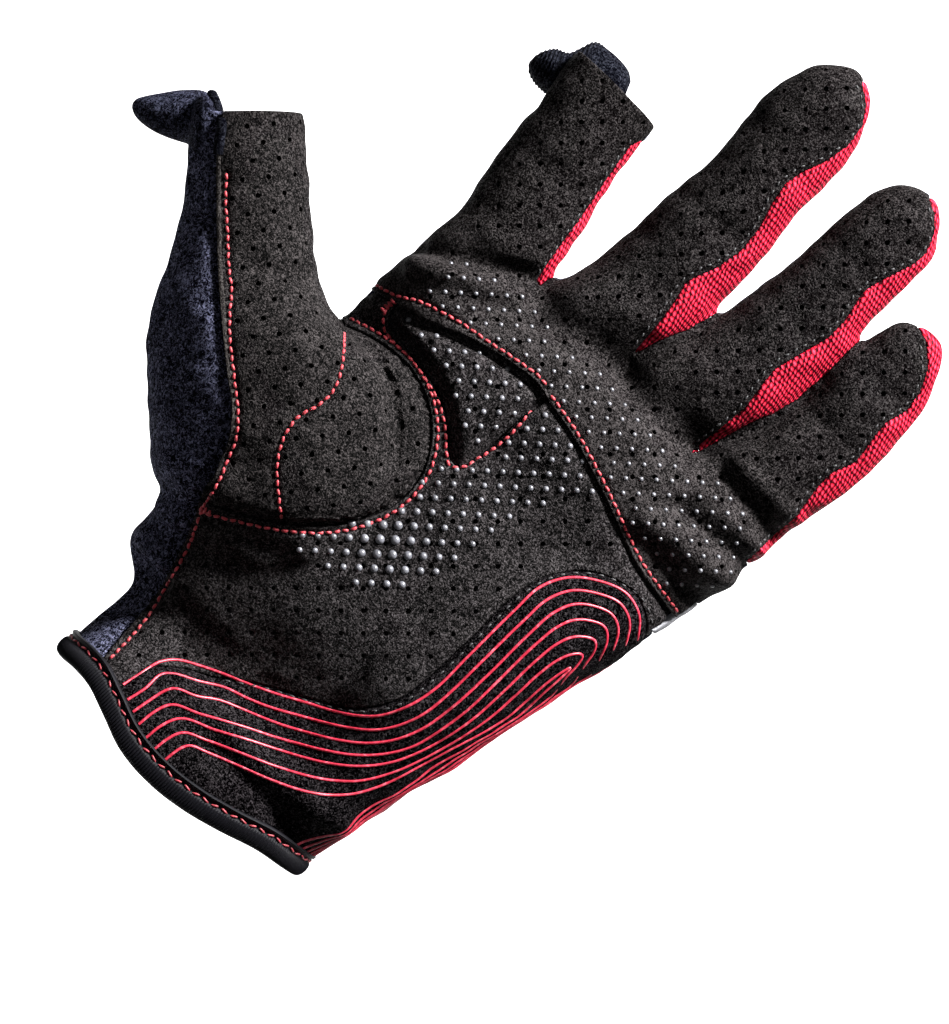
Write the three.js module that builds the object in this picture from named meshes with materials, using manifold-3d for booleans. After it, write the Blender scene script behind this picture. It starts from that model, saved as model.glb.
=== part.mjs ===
// Left-hand work glove in its worn form: perforated suede palm, fleece back, mesh finger gussets,
// folded-back thumb and index fingertip caps, elastic wrist binding.
// Millimetres, +Z along the hand to the fingers, -Y the palm side, +X the little-finger side.
// The origin is the middle of the wrist opening.

import * as THREE from 'three';
import Module from 'manifold-3d';
import { mergeVertices } from 'three/addons/utils/BufferGeometryUtils.js';

const wasm = await Module();
wasm.setup();

// Driving sizes
const clothWall = 1.5;
const padRise = 1.0;
const panelGap = 0.3;
const fingerSides = 12;
const palmSides = 24;
const palmPower = 2.4;
const fingerPower = 2.2;
const thumbPower = 2.1;
const thumbSides = 18;
const capSides = 10;
const capWall = 1.2;
const thumbTilt = -45;
const indexCutHeight = 171.6;
const capTilt = -113;
const bindingTall = 6.0;
const bindingThick = 2.4;
const bindingProud = 0.6;
const bindingSides = 32;
const fieldReach = 90;

// Hand sections: height, left and right outline, palm face and back of the hand.
const palmRows = [
  { along: -14, left: -36.5, right: 33.5, front: -22.5, back: 23.5 },
  { along: 2, left: -36.5, right: 34.5, front: -22.5, back: 23.0 },
  { along: 10, left: -36.0, right: 35.8, front: -21.5, back: 22.0 },
  { along: 21, left: -37.0, right: 38.2, front: -20.0, back: 20.5 },
  { along: 24.5, left: -42.0, right: 39.0, front: -19.5, back: 20.0 },
  { along: 28, left: -44.2, right: 39.6, front: -19.0, back: 19.5 },
  { along: 34, left: -44.2, right: 40.9, front: -18.0, back: 19.0 },
  { along: 42, left: -46.0, right: 42.4, front: -17.5, back: 18.5 },
  { along: 55, left: -47.0, right: 45.2, front: -17.5, back: 17.5 },
  { along: 68, left: -46.0, right: 48.0, front: -17.0, back: 17.0 },
  { along: 80, left: -45.0, right: 51.0, front: -16.5, back: 16.5 },
  { along: 90, left: -44.0, right: 53.0, front: -16.0, back: 16.0 },
  { along: 97, left: -43.6, right: 54.3, front: -15.5, back: 15.5 },
  { along: 104, left: -44.4, right: 55.7, front: -15.5, back: 15.0 },
  { along: 112, left: -44.0, right: 57.3, front: -15.0, back: 14.5 },
  { along: 120, left: -42.6, right: 57.2, front: -12.6, back: 13.0 },
  { along: 127, left: -36.0, right: 51.0, front: -8.0, back: 9.0 },
];

// Mound of the heel of the hand on the little-finger side.
const heelRows = [
  { along: 4, left: 2, right: 34.5, front: -16.5, back: 12 },
  { along: 14, left: 3, right: 36.6, front: -20.0, back: 12 },
  { along: 50, left: 9, right: 44.2, front: -22.0, back: 12 },
  { along: 82, left: 15, right: 51.3, front: -19.0, back: 11 },
  { along: 92, left: 20, right: 53.0, front: -15.8, back: 10 },
  { along: 100, left: 26, right: 52.0, front: -12.0, back: 9 },
];

// Thumb sections, measured along and across an axis that leans by thumbTilt.
const thumbRows = [
  { along: 38, left: 6.0, right: 36.0, front: -15.0, back: 12.0 },
  { along: 54, left: -6.0, right: 48.0, front: -23.5, back: 14.0 },
  { along: 62, left: -5.9, right: 50.0, front: -25.5, back: 14.5 },
  { along: 71, left: -6.4, right: 50.0, front: -26.5, back: 14.5 },
  { along: 82, left: -6.4, right: 47.0, front: -26.0, back: 14.0 },
  { along: 92, left: -6.4, right: 39.5, front: -24.5, back: 12.5 },
  { along: 103, left: -4.8, right: 30.2, front: -21.5, back: 9.5 },
  { along: 116, left: -0.4, right: 28.3, front: -19.0, back: 6.5 },
  { along: 126, left: 0.9, right: 26.9, front: -18.0, back: 5.0 },
  { along: 136, left: 1.4, right: 26.5, front: -17.5, back: 4.0 },
  { along: 142, left: 2.0, right: 25.5, front: -17.0, back: 3.5 },
  { along: 149, left: 2.6, right: 24.5, front: -16.5, back: 3.0 },
];

// Finger sections: height, outline seen from the palm, palm face and back.
const indexRows = [
  { along: 100, left: -40.0, right: -15.0, front: -11.0, back: 11.0 },
  { along: 112, left: -43.6, right: -15.0, front: -13.5, back: 12.5 },
  { along: 125, left: -42.5, right: -17.2, front: -11.5, back: 11.5 },
  { along: 131, left: -43.2, right: -18.4, front: -11.5, back: 10.8 },
  { along: 142, left: -45.0, right: -21.0, front: -11.8, back: 9.8 },
  { along: 150, left: -46.3, right: -22.7, front: -12.0, back: 9.0 },
  { along: 168, left: -48.0, right: -25.0, front: -12.5, back: 7.3 },
  { along: 176, left: -48.4, right: -26.8, front: -12.8, back: 6.2 },
];
const middleRows = [
  { along: 104, left: -14.0, right: 5.0, front: -11.0, back: 12.0 },
  { along: 112, left: -17.0, right: 7.0, front: -14.0, back: 13.0 },
  { along: 126, left: -17.8, right: 6.8, front: -12.0, back: 12.0 },
  { along: 131, left: -17.6, right: 6.6, front: -11.8, back: 11.6 },
  { along: 136, left: -15.0, right: 7.8, front: -11.8, back: 11.0 },
  { along: 147, left: -12.9, right: 11.8, front: -12.0, back: 10.2 },
  { along: 158, left: -12.5, right: 12.4, front: -12.4, back: 9.2 },
  { along: 175, left: -11.5, right: 11.0, front: -13.2, back: 7.0 },
  { along: 185, left: -12.0, right: 10.1, front: -13.8, back: 5.6 },
  { along: 194, left: -12.5, right: 9.6, front: -14.4, back: 4.2 },
  { along: 200, left: -12.0, right: 9.0, front: -14.6, back: 3.0 },
  { along: 205, left: -10.2, right: 7.2, front: -14.0, back: 1.2 },
  { along: 208.5, left: -7.2, right: 4.8, front: -12.4, back: -1.2 },
  { along: 211, left: -1.8, right: 0.2, front: -8.0, back: -6.0 },
];
const ringRows = [
  { along: 104, left: 10.0, right: 29.0, front: -11.0, back: 11.5 },
  { along: 112, left: 7.0, right: 31.5, front: -14.0, back: 12.5 },
  { along: 127, left: 7.0, right: 30.9, front: -12.0, back: 11.3 },
  { along: 133, left: 7.4, right: 33.4, front: -11.6, back: 10.8 },
  { along: 147, left: 12.5, right: 38.2, front: -11.9, back: 9.6 },
  { along: 159, left: 15.2, right: 39.3, front: -12.2, back: 8.4 },
  { along: 169, left: 16.6, right: 39.3, front: -12.6, back: 7.2 },
  { along: 180, left: 17.2, right: 38.8, front: -13.2, back: 5.8 },
  { along: 194, left: 18.6, right: 37.8, front: -13.8, back: 3.4 },
  { along: 198.5, left: 20.2, right: 35.8, front: -13.0, back: 1.6 },
  { along: 201.5, left: 22.8, right: 33.2, front: -11.6, back: -0.8 },
  { along: 203.5, left: 27.2, right: 28.8, front: -8.0, back: -5.4 },
];
const littleRows = [
  { along: 100, left: 35.0, right: 52.0, front: -10.0, back: 9.0 },
  { along: 108, left: 32.0, right: 56.2, front: -12.5, back: 10.5 },
  { along: 118, left: 31.8, right: 57.6, front: -12.0, back: 10.8 },
  { along: 127, left: 32.0, right: 58.6, front: -11.0, back: 10.2 },
  { along: 142, left: 37.6, right: 60.8, front: -10.2, back: 8.6 },
  { along: 150, left: 39.6, right: 61.5, front: -10.2, back: 7.8 },
  { along: 160, left: 39.9, right: 61.5, front: -10.4, back: 6.6 },
  { along: 175, left: 40.6, right: 58.2, front: -10.6, back: 4.2 },
  { along: 179, left: 43.0, right: 55.8, front: -9.6, back: 2.2 },
  { along: 181.6, left: 46.4, right: 53.4, front: -8.0, back: 0.0 },
  { along: 182.5, left: 49.0, right: 51.4, front: -6.2, back: -2.0 },
];

// Folded-back fingertip caps, along and across an axis that leans by capTilt.
const thumbCapRows = [
  { along: -3, left: -3.0, right: 5.0, front: -9.0, back: 3.5 },
  { along: 1, left: -3.5, right: 7.0, front: -9.5, back: 4.5 },
  { along: 4.2, left: -3.6, right: 8.6, front: -9.5, back: 5.0 },
  { along: 9.2, left: -3.9, right: 7.2, front: -8.5, back: 4.5 },
  { along: 13.4, left: -3.5, right: 4.8, front: -7.0, back: 3.0 },
  { along: 16.8, left: -2.3, right: 2.6, front: -5.0, back: 1.0 },
  { along: 18.6, left: -0.6, right: 1.2, front: -3.0, back: -1.0 },
];
const indexCapRows = [
  { along: -2, left: -5.5, right: 5.0, front: -2.0, back: 15.0 },
  { along: 4, left: -7.0, right: 7.4, front: -2.5, back: 16.0 },
  { along: 7.6, left: -7.7, right: 8.0, front: -2.5, back: 16.0 },
  { along: 11.8, left: -7.3, right: 3.6, front: -2.5, back: 15.0 },
  { along: 15, left: -6.3, right: 3.3, front: -1.5, back: 13.5 },
  { along: 17.6, left: -4.9, right: 1.6, front: 1.0, back: 11.0 },
  { along: 19.3, left: -2.8, right: -1.2, front: 4.5, back: 7.5 },
];
const thumbCapRoot = { x: -93, z: 101 };
const indexCapRoot = { x: -38, z: 171.5 };

// Line that parts the palm side from the back, seen from the little-finger side.
const partingLine = [
  { z: -40, y: 1.0 },
  { z: 60, y: 1.0 },
  { z: 120, y: 0.5 },
  { z: 150, y: -0.5 },
  { z: 180, y: -3.5 },
  { z: 215, y: -6.5 },
  { z: 240, y: -7.0 },
];
const gussetWrap = 4.0;

// Hollows of the palm side: middle, half sizes along and across, lean in degrees, depth.
const palmHollows = [
  { x: -11, z: 26, long: 27, wide: 8.5, lean: 12, depth: 3.6 },
  { x: 14, z: 92, long: 16, wide: 9, lean: -20, depth: 1.5 },
];

// Seams, as points seen from the palm.
const fleeceSeam = [
  { x: -28.4, z: -30 },
  { x: -28.4, z: 4 },
  { x: -29.2, z: 12 },
  { x: -30.3, z: 22 },
  { x: -32.4, z: 30 },
  { x: -34.4, z: 36 },
  { x: -37.6, z: 43 },
  { x: -38.6, z: 48 },
  { x: -40.4, z: 53 },
  { x: -42.4, z: 58.5 },
  { x: -46, z: 63.5 },
  { x: -51, z: 67.3 },
  { x: -61, z: 75.3 },
  { x: -71, z: 83.8 },
  { x: -81, z: 93.3 },
  { x: -87, z: 99.3 },
  { x: -90.5, z: 103.5 },
  { x: -94, z: 107.5 },
];
const thenarEdge = [
  { x: -37.6, z: 41.5 },
  { x: -30, z: 46 },
  { x: -22, z: 51.5 },
  { x: -14.5, z: 58 },
  { x: -9.5, z: 65 },
  { x: -6.8, z: 73 },
  { x: -7.6, z: 82 },
  { x: -11.6, z: 88.5 },
  { x: -18, z: 93.6 },
  { x: -26, z: 96 },
  { x: -35, z: 95.4 },
  { x: -43, z: 93 },
];
const crossSeam = [
  { x: -47, z: 101.8 },
  { x: -39, z: 103.4 },
  { x: -30, z: 106 },
  { x: -20, z: 110 },
  { x: -10, z: 112.4 },
  { x: -3, z: 113 },
  { x: 0, z: 112.3 },
  { x: 10, z: 110.4 },
  { x: 20, z: 107.4 },
  { x: 30, z: 103.9 },
  { x: 40, z: 100.4 },
  { x: 50, z: 98.8 },
  { x: 80, z: 98 },
];
const heelEdge = [
  { x: -21, z: -30 },
  { x: -21, z: 3 },
  { x: -20, z: 10 },
  { x: -16, z: 14 },
  { x: -8, z: 18.5 },
  { x: 0, z: 24 },
  { x: 10, z: 29.5 },
  { x: 18, z: 35 },
  { x: 23, z: 42 },
  { x: 24.5, z: 50 },
  { x: 25, z: 60 },
  { x: 25.5, z: 80 },
  { x: 27.5, z: 86 },
  { x: 32, z: 91.5 },
  { x: 38, z: 95 },
  { x: 45, z: 96 },
  { x: 51, z: 93 },
  { x: 53.6, z: 90 },
  { x: 80, z: 90 },
];
const knucklePadOutline = [
  { x: -38, z: 103.6 },
  { x: -37.4, z: 100.6 },
  { x: -35.2, z: 98.6 },
  { x: -30, z: 98.2 },
  { x: -22, z: 97.4 },
  { x: -15, z: 95.2 },
  { x: -9, z: 90.8 },
  { x: -4, z: 87.6 },
  { x: -2, z: 89 },
  { x: -1, z: 95 },
  { x: -0.8, z: 105 },
  { x: 0, z: 112.3 },
  { x: -3, z: 113 },
  { x: -10, z: 112.4 },
  { x: -20, z: 110 },
  { x: -30, z: 106 },
];

// Gusset outlines: the wavy suede edge up the finger, then out past the finger's side.
const gussetOutlines = {
  index: [
    { x: -19.5, z: 129 },
    { x: -20.8, z: 137 },
    { x: -22.6, z: 148 },
    { x: -25.0, z: 158 },
    { x: -26.2, z: 167 },
    { x: -27, z: 190 },
    { x: -16, z: 190 },
    { x: -16, z: 138 },
    { x: -18.0, z: 131.5 },
    { x: -18.2, z: 129 },
  ],
  middle: [
    { x: 6.8, z: 133 },
    { x: 6.4, z: 138 },
    { x: 5.4, z: 145 },
    { x: 4.0, z: 151 },
    { x: 4.6, z: 154 },
    { x: 6.6, z: 159 },
    { x: 7.5, z: 165 },
    { x: 7.0, z: 171 },
    { x: 5.0, z: 177 },
    { x: 4.0, z: 182 },
    { x: 5.0, z: 187 },
    { x: 7.0, z: 192 },
    { x: 8.1, z: 198 },
    { x: 7.2, z: 203.6 },
    { x: 4, z: 207.6 },
    { x: 0, z: 210 },
    { x: -1, z: 214 },
    { x: 15, z: 214 },
    { x: 16, z: 170 },
    { x: 13.0, z: 151 },
    { x: 11.6, z: 145 },
    { x: 8.8, z: 138 },
    { x: 7.1, z: 133 },
  ],
  ring: [
    { x: 30.9, z: 127 },
    { x: 31.9, z: 133 },
    { x: 32.5, z: 141 },
    { x: 31.5, z: 147 },
    { x: 31, z: 152 },
    { x: 32.5, z: 158 },
    { x: 34.5, z: 165 },
    { x: 34.5, z: 170 },
    { x: 33, z: 176 },
    { x: 33, z: 179 },
    { x: 34.5, z: 184 },
    { x: 36.5, z: 190 },
    { x: 36.8, z: 193 },
    { x: 35, z: 198 },
    { x: 32, z: 201 },
    { x: 28.4, z: 202.6 },
    { x: 27.4, z: 207 },
    { x: 42, z: 207 },
    { x: 40, z: 175 },
    { x: 39.65, z: 169 },
    { x: 39.6, z: 159 },
    { x: 39.3, z: 151 },
    { x: 38.0, z: 145 },
    { x: 36.6, z: 142 },
    { x: 34.2, z: 134.5 },
    { x: 31.5, z: 127 },
  ],
  little: [
    { x: 56.8, z: 118 },
    { x: 57, z: 125 },
    { x: 57.5, z: 133 },
    { x: 56, z: 140 },
    { x: 56, z: 145 },
    { x: 58, z: 150 },
    { x: 57, z: 157 },
    { x: 56.5, z: 161 },
    { x: 58, z: 166 },
    { x: 57.3, z: 171 },
    { x: 54.8, z: 176 },
    { x: 50, z: 180 },
    { x: 46.4, z: 181 },
    { x: 45, z: 186 },
    { x: 70, z: 186 },
    { x: 70, z: 118 },
  ],
};

const edgeTrimOutline = [
  { x: 52.4, z: 92.5 },
  { x: 80, z: 92.5 },
  { x: 80, z: 104 },
  { x: 55.2, z: 104 },
  { x: 54.0, z: 98.4 },
];

// Height of the binding's middle line around the wrist: it dips on the palm side.
const bindingHeights = [
  { turn: 0, z: 2.3 },
  { turn: 30, z: 1.9 },
  { turn: 60, z: 1.3 },
  { turn: 90, z: 0.9 },
  { turn: 120, z: 0.7 },
  { turn: 150, z: 0.4 },
  { turn: 180, z: 0.2 },
  { turn: 200, z: 0.4 },
  { turn: 215, z: 0.9 },
  { turn: 229, z: 0.6 },
  { turn: 243, z: -1.5 },
  { turn: 257, z: -4.2 },
  { turn: 268, z: -4.9 },
  { turn: 279, z: -3.9 },
  { turn: 293, z: -1.8 },
  { turn: 311, z: 0.9 },
  { turn: 334, z: 2.0 },
  { turn: 360, z: 2.3 },
];

const materials = {
  suede: new THREE.MeshStandardMaterial({ color: 0x2b2a2c, roughness: 0.95, metalness: 0 }),
  thumbSuede: new THREE.MeshStandardMaterial({ color: 0x3c3b3c, roughness: 0.95, metalness: 0 }),
  fleece: new THREE.MeshStandardMaterial({ color: 0x23252f, roughness: 0.98, metalness: 0 }),
  mesh: new THREE.MeshStandardMaterial({ color: 0xd7284b, roughness: 0.8, metalness: 0 }),
  elastic: new THREE.MeshStandardMaterial({ color: 0x1b1c22, roughness: 0.85, metalness: 0 }),
  greyKnit: new THREE.MeshStandardMaterial({ color: 0xb8b8bd, roughness: 0.9, metalness: 0 }),
};

function radians(degrees) {
  return degrees * Math.PI / 180;
}

function manifoldOf(positions, triangles) {
  return new wasm.Manifold(new wasm.Mesh({
    numProp: 3,
    vertProperties: new Float32Array(positions),
    triVerts: new Uint32Array(triangles),
  }));
}

// Closed solid through equal rings of points, with a fan over each end.
function skinRings(rings) {
  const sides = rings[0].length;
  const positions = rings.flat(2);
  const triangles = [];
  for (let row = 0; row < rings.length - 1; row += 1) {
    for (let side = 0; side < sides; side += 1) {
      const a = row * sides + side;
      const b = row * sides + (side + 1) % sides;
      triangles.push(a, b, b + sides, a, b + sides, a + sides);
    }
  }
  const first = positions.length / 3;
  positions.push(...ringMiddle(rings[0]), ...ringMiddle(rings[rings.length - 1]));
  const lastRow = (rings.length - 1) * sides;
  for (let side = 0; side < sides; side += 1) {
    const next = (side + 1) % sides;
    triangles.push(first, next, side);
    triangles.push(first + 1, lastRow + side, lastRow + next);
  }
  return manifoldOf(positions, triangles);
}

function ringMiddle(ring) {
  const sum = ring.reduce((total, point) => total.map((value, axis) => value + point[axis]), [0, 0, 0]);
  return sum.map((value) => value / ring.length);
}

// Rounded section ring at one row, shrunk by `inset`, about an axis that leans by `tilt`.
function sectionRing(row, along, inset, sides, tilt, root, power) {
  const middle = (row.left + row.right) / 2;
  const half = Math.max((row.right - row.left) / 2 - inset, 0.25);
  const depthMiddle = (row.front + row.back) / 2;
  const depthHalf = Math.max((row.back - row.front) / 2 - inset, 0.25);
  const lean = radians(tilt);
  const ring = [];
  for (let side = 0; side < sides; side += 1) {
    const turn = 2 * Math.PI * side / sides;
    const across = middle + half * rounded(Math.cos(turn), power);
    const depth = depthMiddle + depthHalf * rounded(Math.sin(turn), power);
    const x = root.x + along * Math.sin(lean) + across * Math.cos(lean);
    const z = root.z + along * Math.cos(lean) - across * Math.sin(lean);
    const facing = Math.min(Math.max(-1.6 * Math.sin(turn), 0), 1);
    ring.push([x, depth + facing * hollowDepth(x, z), z]);
  }
  return ring;
}

// How far the palm's face is pressed in at a point seen from the palm.
function hollowDepth(x, z) {
  return palmHollows.reduce((total, hollow) => {
    const lean = radians(hollow.lean);
    const along = (x - hollow.x) * Math.cos(lean) + (z - hollow.z) * Math.sin(lean);
    const across = (z - hollow.z) * Math.cos(lean) - (x - hollow.x) * Math.sin(lean);
    const fall = (along / hollow.long) ** 2 + (across / hollow.wide) ** 2;
    return total + hollow.depth * Math.exp(-fall);
  }, 0);
}

function rounded(value, power) {
  return Math.sign(value) * Math.abs(value) ** (2 / power);
}

// Solid through a table of rows; a closed tip is pulled back by the inset as well.
function loft(rows, options) {
  const { inset = 0, sides, tilt = 0, root = { x: 0, z: 0 }, power = 2, closedTip = false } = options;
  const base = rows[0].along;
  const length = rows[rows.length - 1].along - base;
  const squeeze = closedTip ? (length - inset) / length : 1;
  const rings = rows.map((row) => {
    const along = base + (row.along - base) * squeeze;
    return sectionRing(row, along, inset, sides, tilt, root, power);
  });
  return skinRings(rings);
}

// Hand form grown (negative inset) or shrunk (positive inset) from the outside of the cloth.
function handForm(inset) {
  const fingers = { inset, sides: fingerSides, power: fingerPower, closedTip: true };
  const forms = [
    loft(palmRows, { inset, sides: palmSides, power: palmPower }),
    loft(heelRows, { inset, sides: fingerSides, power: thumbPower }),
    loft(thumbRows, { inset, sides: thumbSides, tilt: thumbTilt, power: thumbPower }),
    loft(indexRows, { inset, sides: fingerSides, power: fingerPower }),
    loft(middleRows, fingers),
    loft(ringRows, fingers),
    loft(littleRows, fingers),
  ];
  return forms.reduce((whole, form) => whole.add(form));
}

// Straight prism along Y over an outline seen from the palm.
function prism(outline, front = -fieldReach, back = fieldReach) {
  const shape = outline.map((point) => new THREE.Vector2(point.x, point.z));
  const facing = Math.sign(THREE.ShapeUtils.area(shape));
  const faces = THREE.ShapeUtils.triangulateShape(shape, []).map(([a, b, c]) => {
    const same = Math.sign(THREE.ShapeUtils.area([shape[a], shape[b], shape[c]])) === facing;
    return same ? [a, b, c] : [a, c, b];
  });
  const count = shape.length;
  const positions = [];
  shape.forEach((point) => positions.push(point.x, front, point.y));
  shape.forEach((point) => positions.push(point.x, back, point.y));
  const triangles = [];
  faces.forEach(([a, b, c]) => {
    triangles.push(a, b, c);
    triangles.push(a + count, c + count, b + count);
  });
  for (let corner = 0; corner < count; corner += 1) {
    const next = (corner + 1) % count;
    triangles.push(corner, corner + count, next);
    triangles.push(next, corner + count, next + count);
  }
  return facing > 0 ? manifoldOf(positions, triangles) : manifoldOf(positions, flipped(triangles));
}

function flipped(triangles) {
  const turned = [];
  for (let corner = 0; corner < triangles.length; corner += 3) {
    turned.push(triangles[corner], triangles[corner + 2], triangles[corner + 1]);
  }
  return turned;
}

// Half space on the palm side of the parting line, moved back by `shift`.
function palmSide(shift) {
  const wide = 140;
  const rings = partingLine.map((point) => [
    [-wide, -fieldReach, point.z],
    [wide, -fieldReach, point.z],
    [wide, point.y + shift, point.z],
    [-wide, point.y + shift, point.z],
  ]);
  return skinRings(rings);
}

// Everything below the top of the binding, raised by `shift`.
function belowBinding(shift) {
  const top = bindingTall / 2 + shift;
  const rings = [0.03, 0.85, 1.15, 2].map((scale) => (
    bindingTurns().map(({ turn, z }) => wristPoint(turn, scale, 0, z + top))
  ));
  rings.push(bindingTurns().map(({ turn }) => wristPoint(turn, 2, 0, -60)));
  return skinRings(rings.reverse());
}

// Point of the wrist's rounded outline, scaled about its middle and then grown outward.
function wristPoint(turn, scale, grow, z) {
  const wrist = palmRows[1];
  const middle = { x: (wrist.left + wrist.right) / 2, y: (wrist.front + wrist.back) / 2 };
  const half = { x: (wrist.right - wrist.left) / 2, y: (wrist.back - wrist.front) / 2 };
  return [
    middle.x + (half.x * scale + grow) * rounded(Math.cos(turn), palmPower),
    middle.y + (half.y * scale + grow) * rounded(Math.sin(turn), palmPower),
    z,
  ];
}

function bindingTurns() {
  const turns = [];
  for (let side = 0; side < bindingSides; side += 1) {
    const degrees = 360 * side / bindingSides;
    turns.push({ turn: radians(degrees), z: bindingHeight(degrees) });
  }
  return turns;
}

function bindingHeight(degrees) {
  const next = bindingHeights.findIndex((row) => row.turn > degrees);
  const from = bindingHeights[next - 1];
  const to = bindingHeights[next];
  const part = (degrees - from.turn) / (to.turn - from.turn);
  const eased = part * part * (3 - 2 * part);
  return from.z + (to.z - from.z) * eased;
}

// Band around the wrist opening with rounded edges.
function bindingBand() {
  const profile = [
    { out: 0.0, up: -0.42 },
    { out: 0.3, up: -0.5 },
    { out: 0.75, up: -0.47 },
    { out: 1.0, up: -0.34 },
    { out: 1.0, up: 0.36 },
    { out: 0.7, up: 0.5 },
    { out: 0.25, up: 0.5 },
    { out: 0.0, up: 0.42 },
  ];
  const count = profile.length;
  const positions = [];
  bindingTurns().forEach(({ turn, z }) => {
    profile.forEach(({ out, up }) => {
      const grow = bindingProud + (out - 1) * bindingThick;
      positions.push(...wristPoint(turn, 1, grow, z + up * bindingTall));
    });
  });
  const triangles = [];
  for (let side = 0; side < bindingSides; side += 1) {
    for (let corner = 0; corner < count; corner += 1) {
      const a = side * count + corner;
      const b = side * count + (corner + 1) % count;
      const c = ((side + 1) % bindingSides) * count + (corner + 1) % count;
      const d = ((side + 1) % bindingSides) * count + corner;
      triangles.push(a, c, b, a, d, c);
    }
  }
  const solid = manifoldOf(positions, triangles);
  return solid.volume() < 0 ? manifoldOf(positions, flipped(triangles)) : solid;
}

// Outline grown away from its own middle line by `amount` along each corner's outward normal.
function grown(outline, amount) {
  const area = THREE.ShapeUtils.area(outline.map((point) => ({ x: point.x, y: point.z })));
  const outward = area > 0 ? amount : -amount;
  return outline.map((point, corner) => {
    const before = outline[(corner + outline.length - 1) % outline.length];
    const after = outline[(corner + 1) % outline.length];
    const one = unit(point.x - before.x, point.z - before.z);
    const two = unit(after.x - point.x, after.z - point.z);
    const normal = unit(one.z + two.z, -(one.x + two.x));
    return { x: point.x + normal.x * outward, z: point.z + normal.z * outward };
  });
}

function unit(x, z) {
  const length = Math.hypot(x, z) || 1;
  return { x: x / length, z: z / length };
}

function openShell(outside, inside) {
  const thumbCut = [
    { x: -150, z: 51 },
    { x: -94.2, z: 106.8 },
    { x: -81.6, z: 119.2 },
    { x: -62, z: 139 },
    { x: -150, z: 170 },
  ];
  const indexCut = [
    { x: -70, z: indexCutHeight - 1 },
    { x: -48, z: indexCutHeight - 0.6 },
    { x: -28, z: indexCutHeight + 0.4 },
    { x: -15, z: indexCutHeight - 2 },
    { x: -15, z: 190 },
    { x: -70, z: 190 },
  ];
  return outside
    .subtract(inside)
    .subtract(prism(thumbCut))
    .subtract(prism(indexCut))
    .subtract(belowBinding(panelGap));
}

// Region outlines of the palm-side panels.
function panelOutlines() {
  const lowerSeam = fleeceSeam.slice(0, 7);
  const thumbSeam = fleeceSeam.slice(6);
  return {
    thumb: [...thumbSeam, { x: -120, z: 140 }, { x: -60, z: 140 }, { x: -47, z: 94 }, ...thenarEdge.slice(1).reverse()],
    palm: [
      ...lowerSeam,
      ...thenarEdge.slice(1),
      { x: -46, z: 93.4 },
      ...crossSeam.slice(0, -1),
      { x: 53, z: 98.5 },
      { x: 53, z: 92.4 },
      ...heelEdge.slice(0, -2).reverse(),
    ],
    heel: [...heelEdge, { x: 80, z: -30 }],
    fingers: [...crossSeam, { x: 80, z: 230 }, { x: -60, z: 230 }, { x: -60, z: 112 }],
    suede: [...fleeceSeam, { x: -110, z: 124 }, { x: -110, z: 230 }, { x: 90, z: 230 }, { x: 90, z: -30 }],
  };
}

function addPart(group, name, solid, material) {
  const mesh = mainBody(solid).getMesh();
  const geometry = new THREE.BufferGeometry();
  geometry.setAttribute('position', new THREE.BufferAttribute(new Float32Array(mesh.vertProperties), 3));
  geometry.setIndex(new THREE.BufferAttribute(new Uint32Array(mesh.triVerts), 1));
  const part = new THREE.Mesh(mergeVertices(geometry, 1e-4), material);
  part.name = name;
  group.add(part);
}

function fingertipCap(rows, root, clearOf) {
  const options = { sides: capSides, tilt: capTilt, root, power: thumbPower, closedTip: true };
  const outside = loft(rows, options);
  const insideRows = [{ ...rows[0], along: rows[0].along - 4 }, ...rows.slice(1)];
  const inside = loft(insideRows, { ...options, inset: capWall });
  return outside.subtract(inside).subtract(clearOf);
}

// Largest body of a solid, without the slivers that a cut leaves beside it.
function mainBody(solid) {
  return solid.decompose().reduce((best, body) => (body.volume() > best.volume() ? body : best));
}

const group = new THREE.Group();
const outside = handForm(0);
const inside = handForm(clothWall);
const shell = openShell(outside, inside);
const outlines = panelOutlines();
const palmHalf = palmSide(0);
const palmHalfClear = palmSide(panelGap);
const gussetHalf = palmSide(gussetWrap);
const gussetHalfClear = palmSide(gussetWrap + panelGap);
const gap = panelGap / 2;

const gussets = Object.fromEntries(Object.entries(gussetOutlines).map(([name, outline]) => [
  name,
  prism(grown(outline, -gap)),
]));
const gussetFields = Object.values(gussetOutlines)
  .map((outline) => prism(grown(outline, gap)))
  .reduce((whole, field) => whole.add(field));
const gussetClear = gussetFields.intersect(gussetHalfClear);
const trimField = prism(edgeTrimOutline);
const trimClear = prism(grown(edgeTrimOutline, panelGap));
const padField = prism(knucklePadOutline);
const padClear = prism(grown(knucklePadOutline, panelGap));

const frontShell = shell.intersect(palmHalf).subtract(trimClear).subtract(gussetFields);
const padShell = handForm(-padRise).subtract(inside).intersect(palmHalf);

const fingerPanel = frontShell.intersect(prism(grown(outlines.fingers, -gap))).subtract(padClear);
const palmPanel = frontShell.intersect(prism(grown(outlines.palm, -gap))).subtract(padClear);
const thumbPanel = frontShell.intersect(prism(grown(outlines.thumb, -gap)));
const heelPanel = frontShell.intersect(prism(grown(outlines.heel, -gap)));
const knucklePad = padShell.intersect(padField);
const suedeField = prism(grown(outlines.suede, gap)).intersect(palmHalfClear);
const backPanel = shell
  .subtract(suedeField)
  .subtract(gussetClear)
  .subtract(trimClear.intersect(gussetHalfClear));
const edgeTrim = shell.intersect(trimField).intersect(gussetHalf);

const formClear = handForm(-panelGap);
const thumbCap = fingertipCap(thumbCapRows, thumbCapRoot, formClear);
const indexCap = fingertipCap(indexCapRows, indexCapRoot, formClear);

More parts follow.
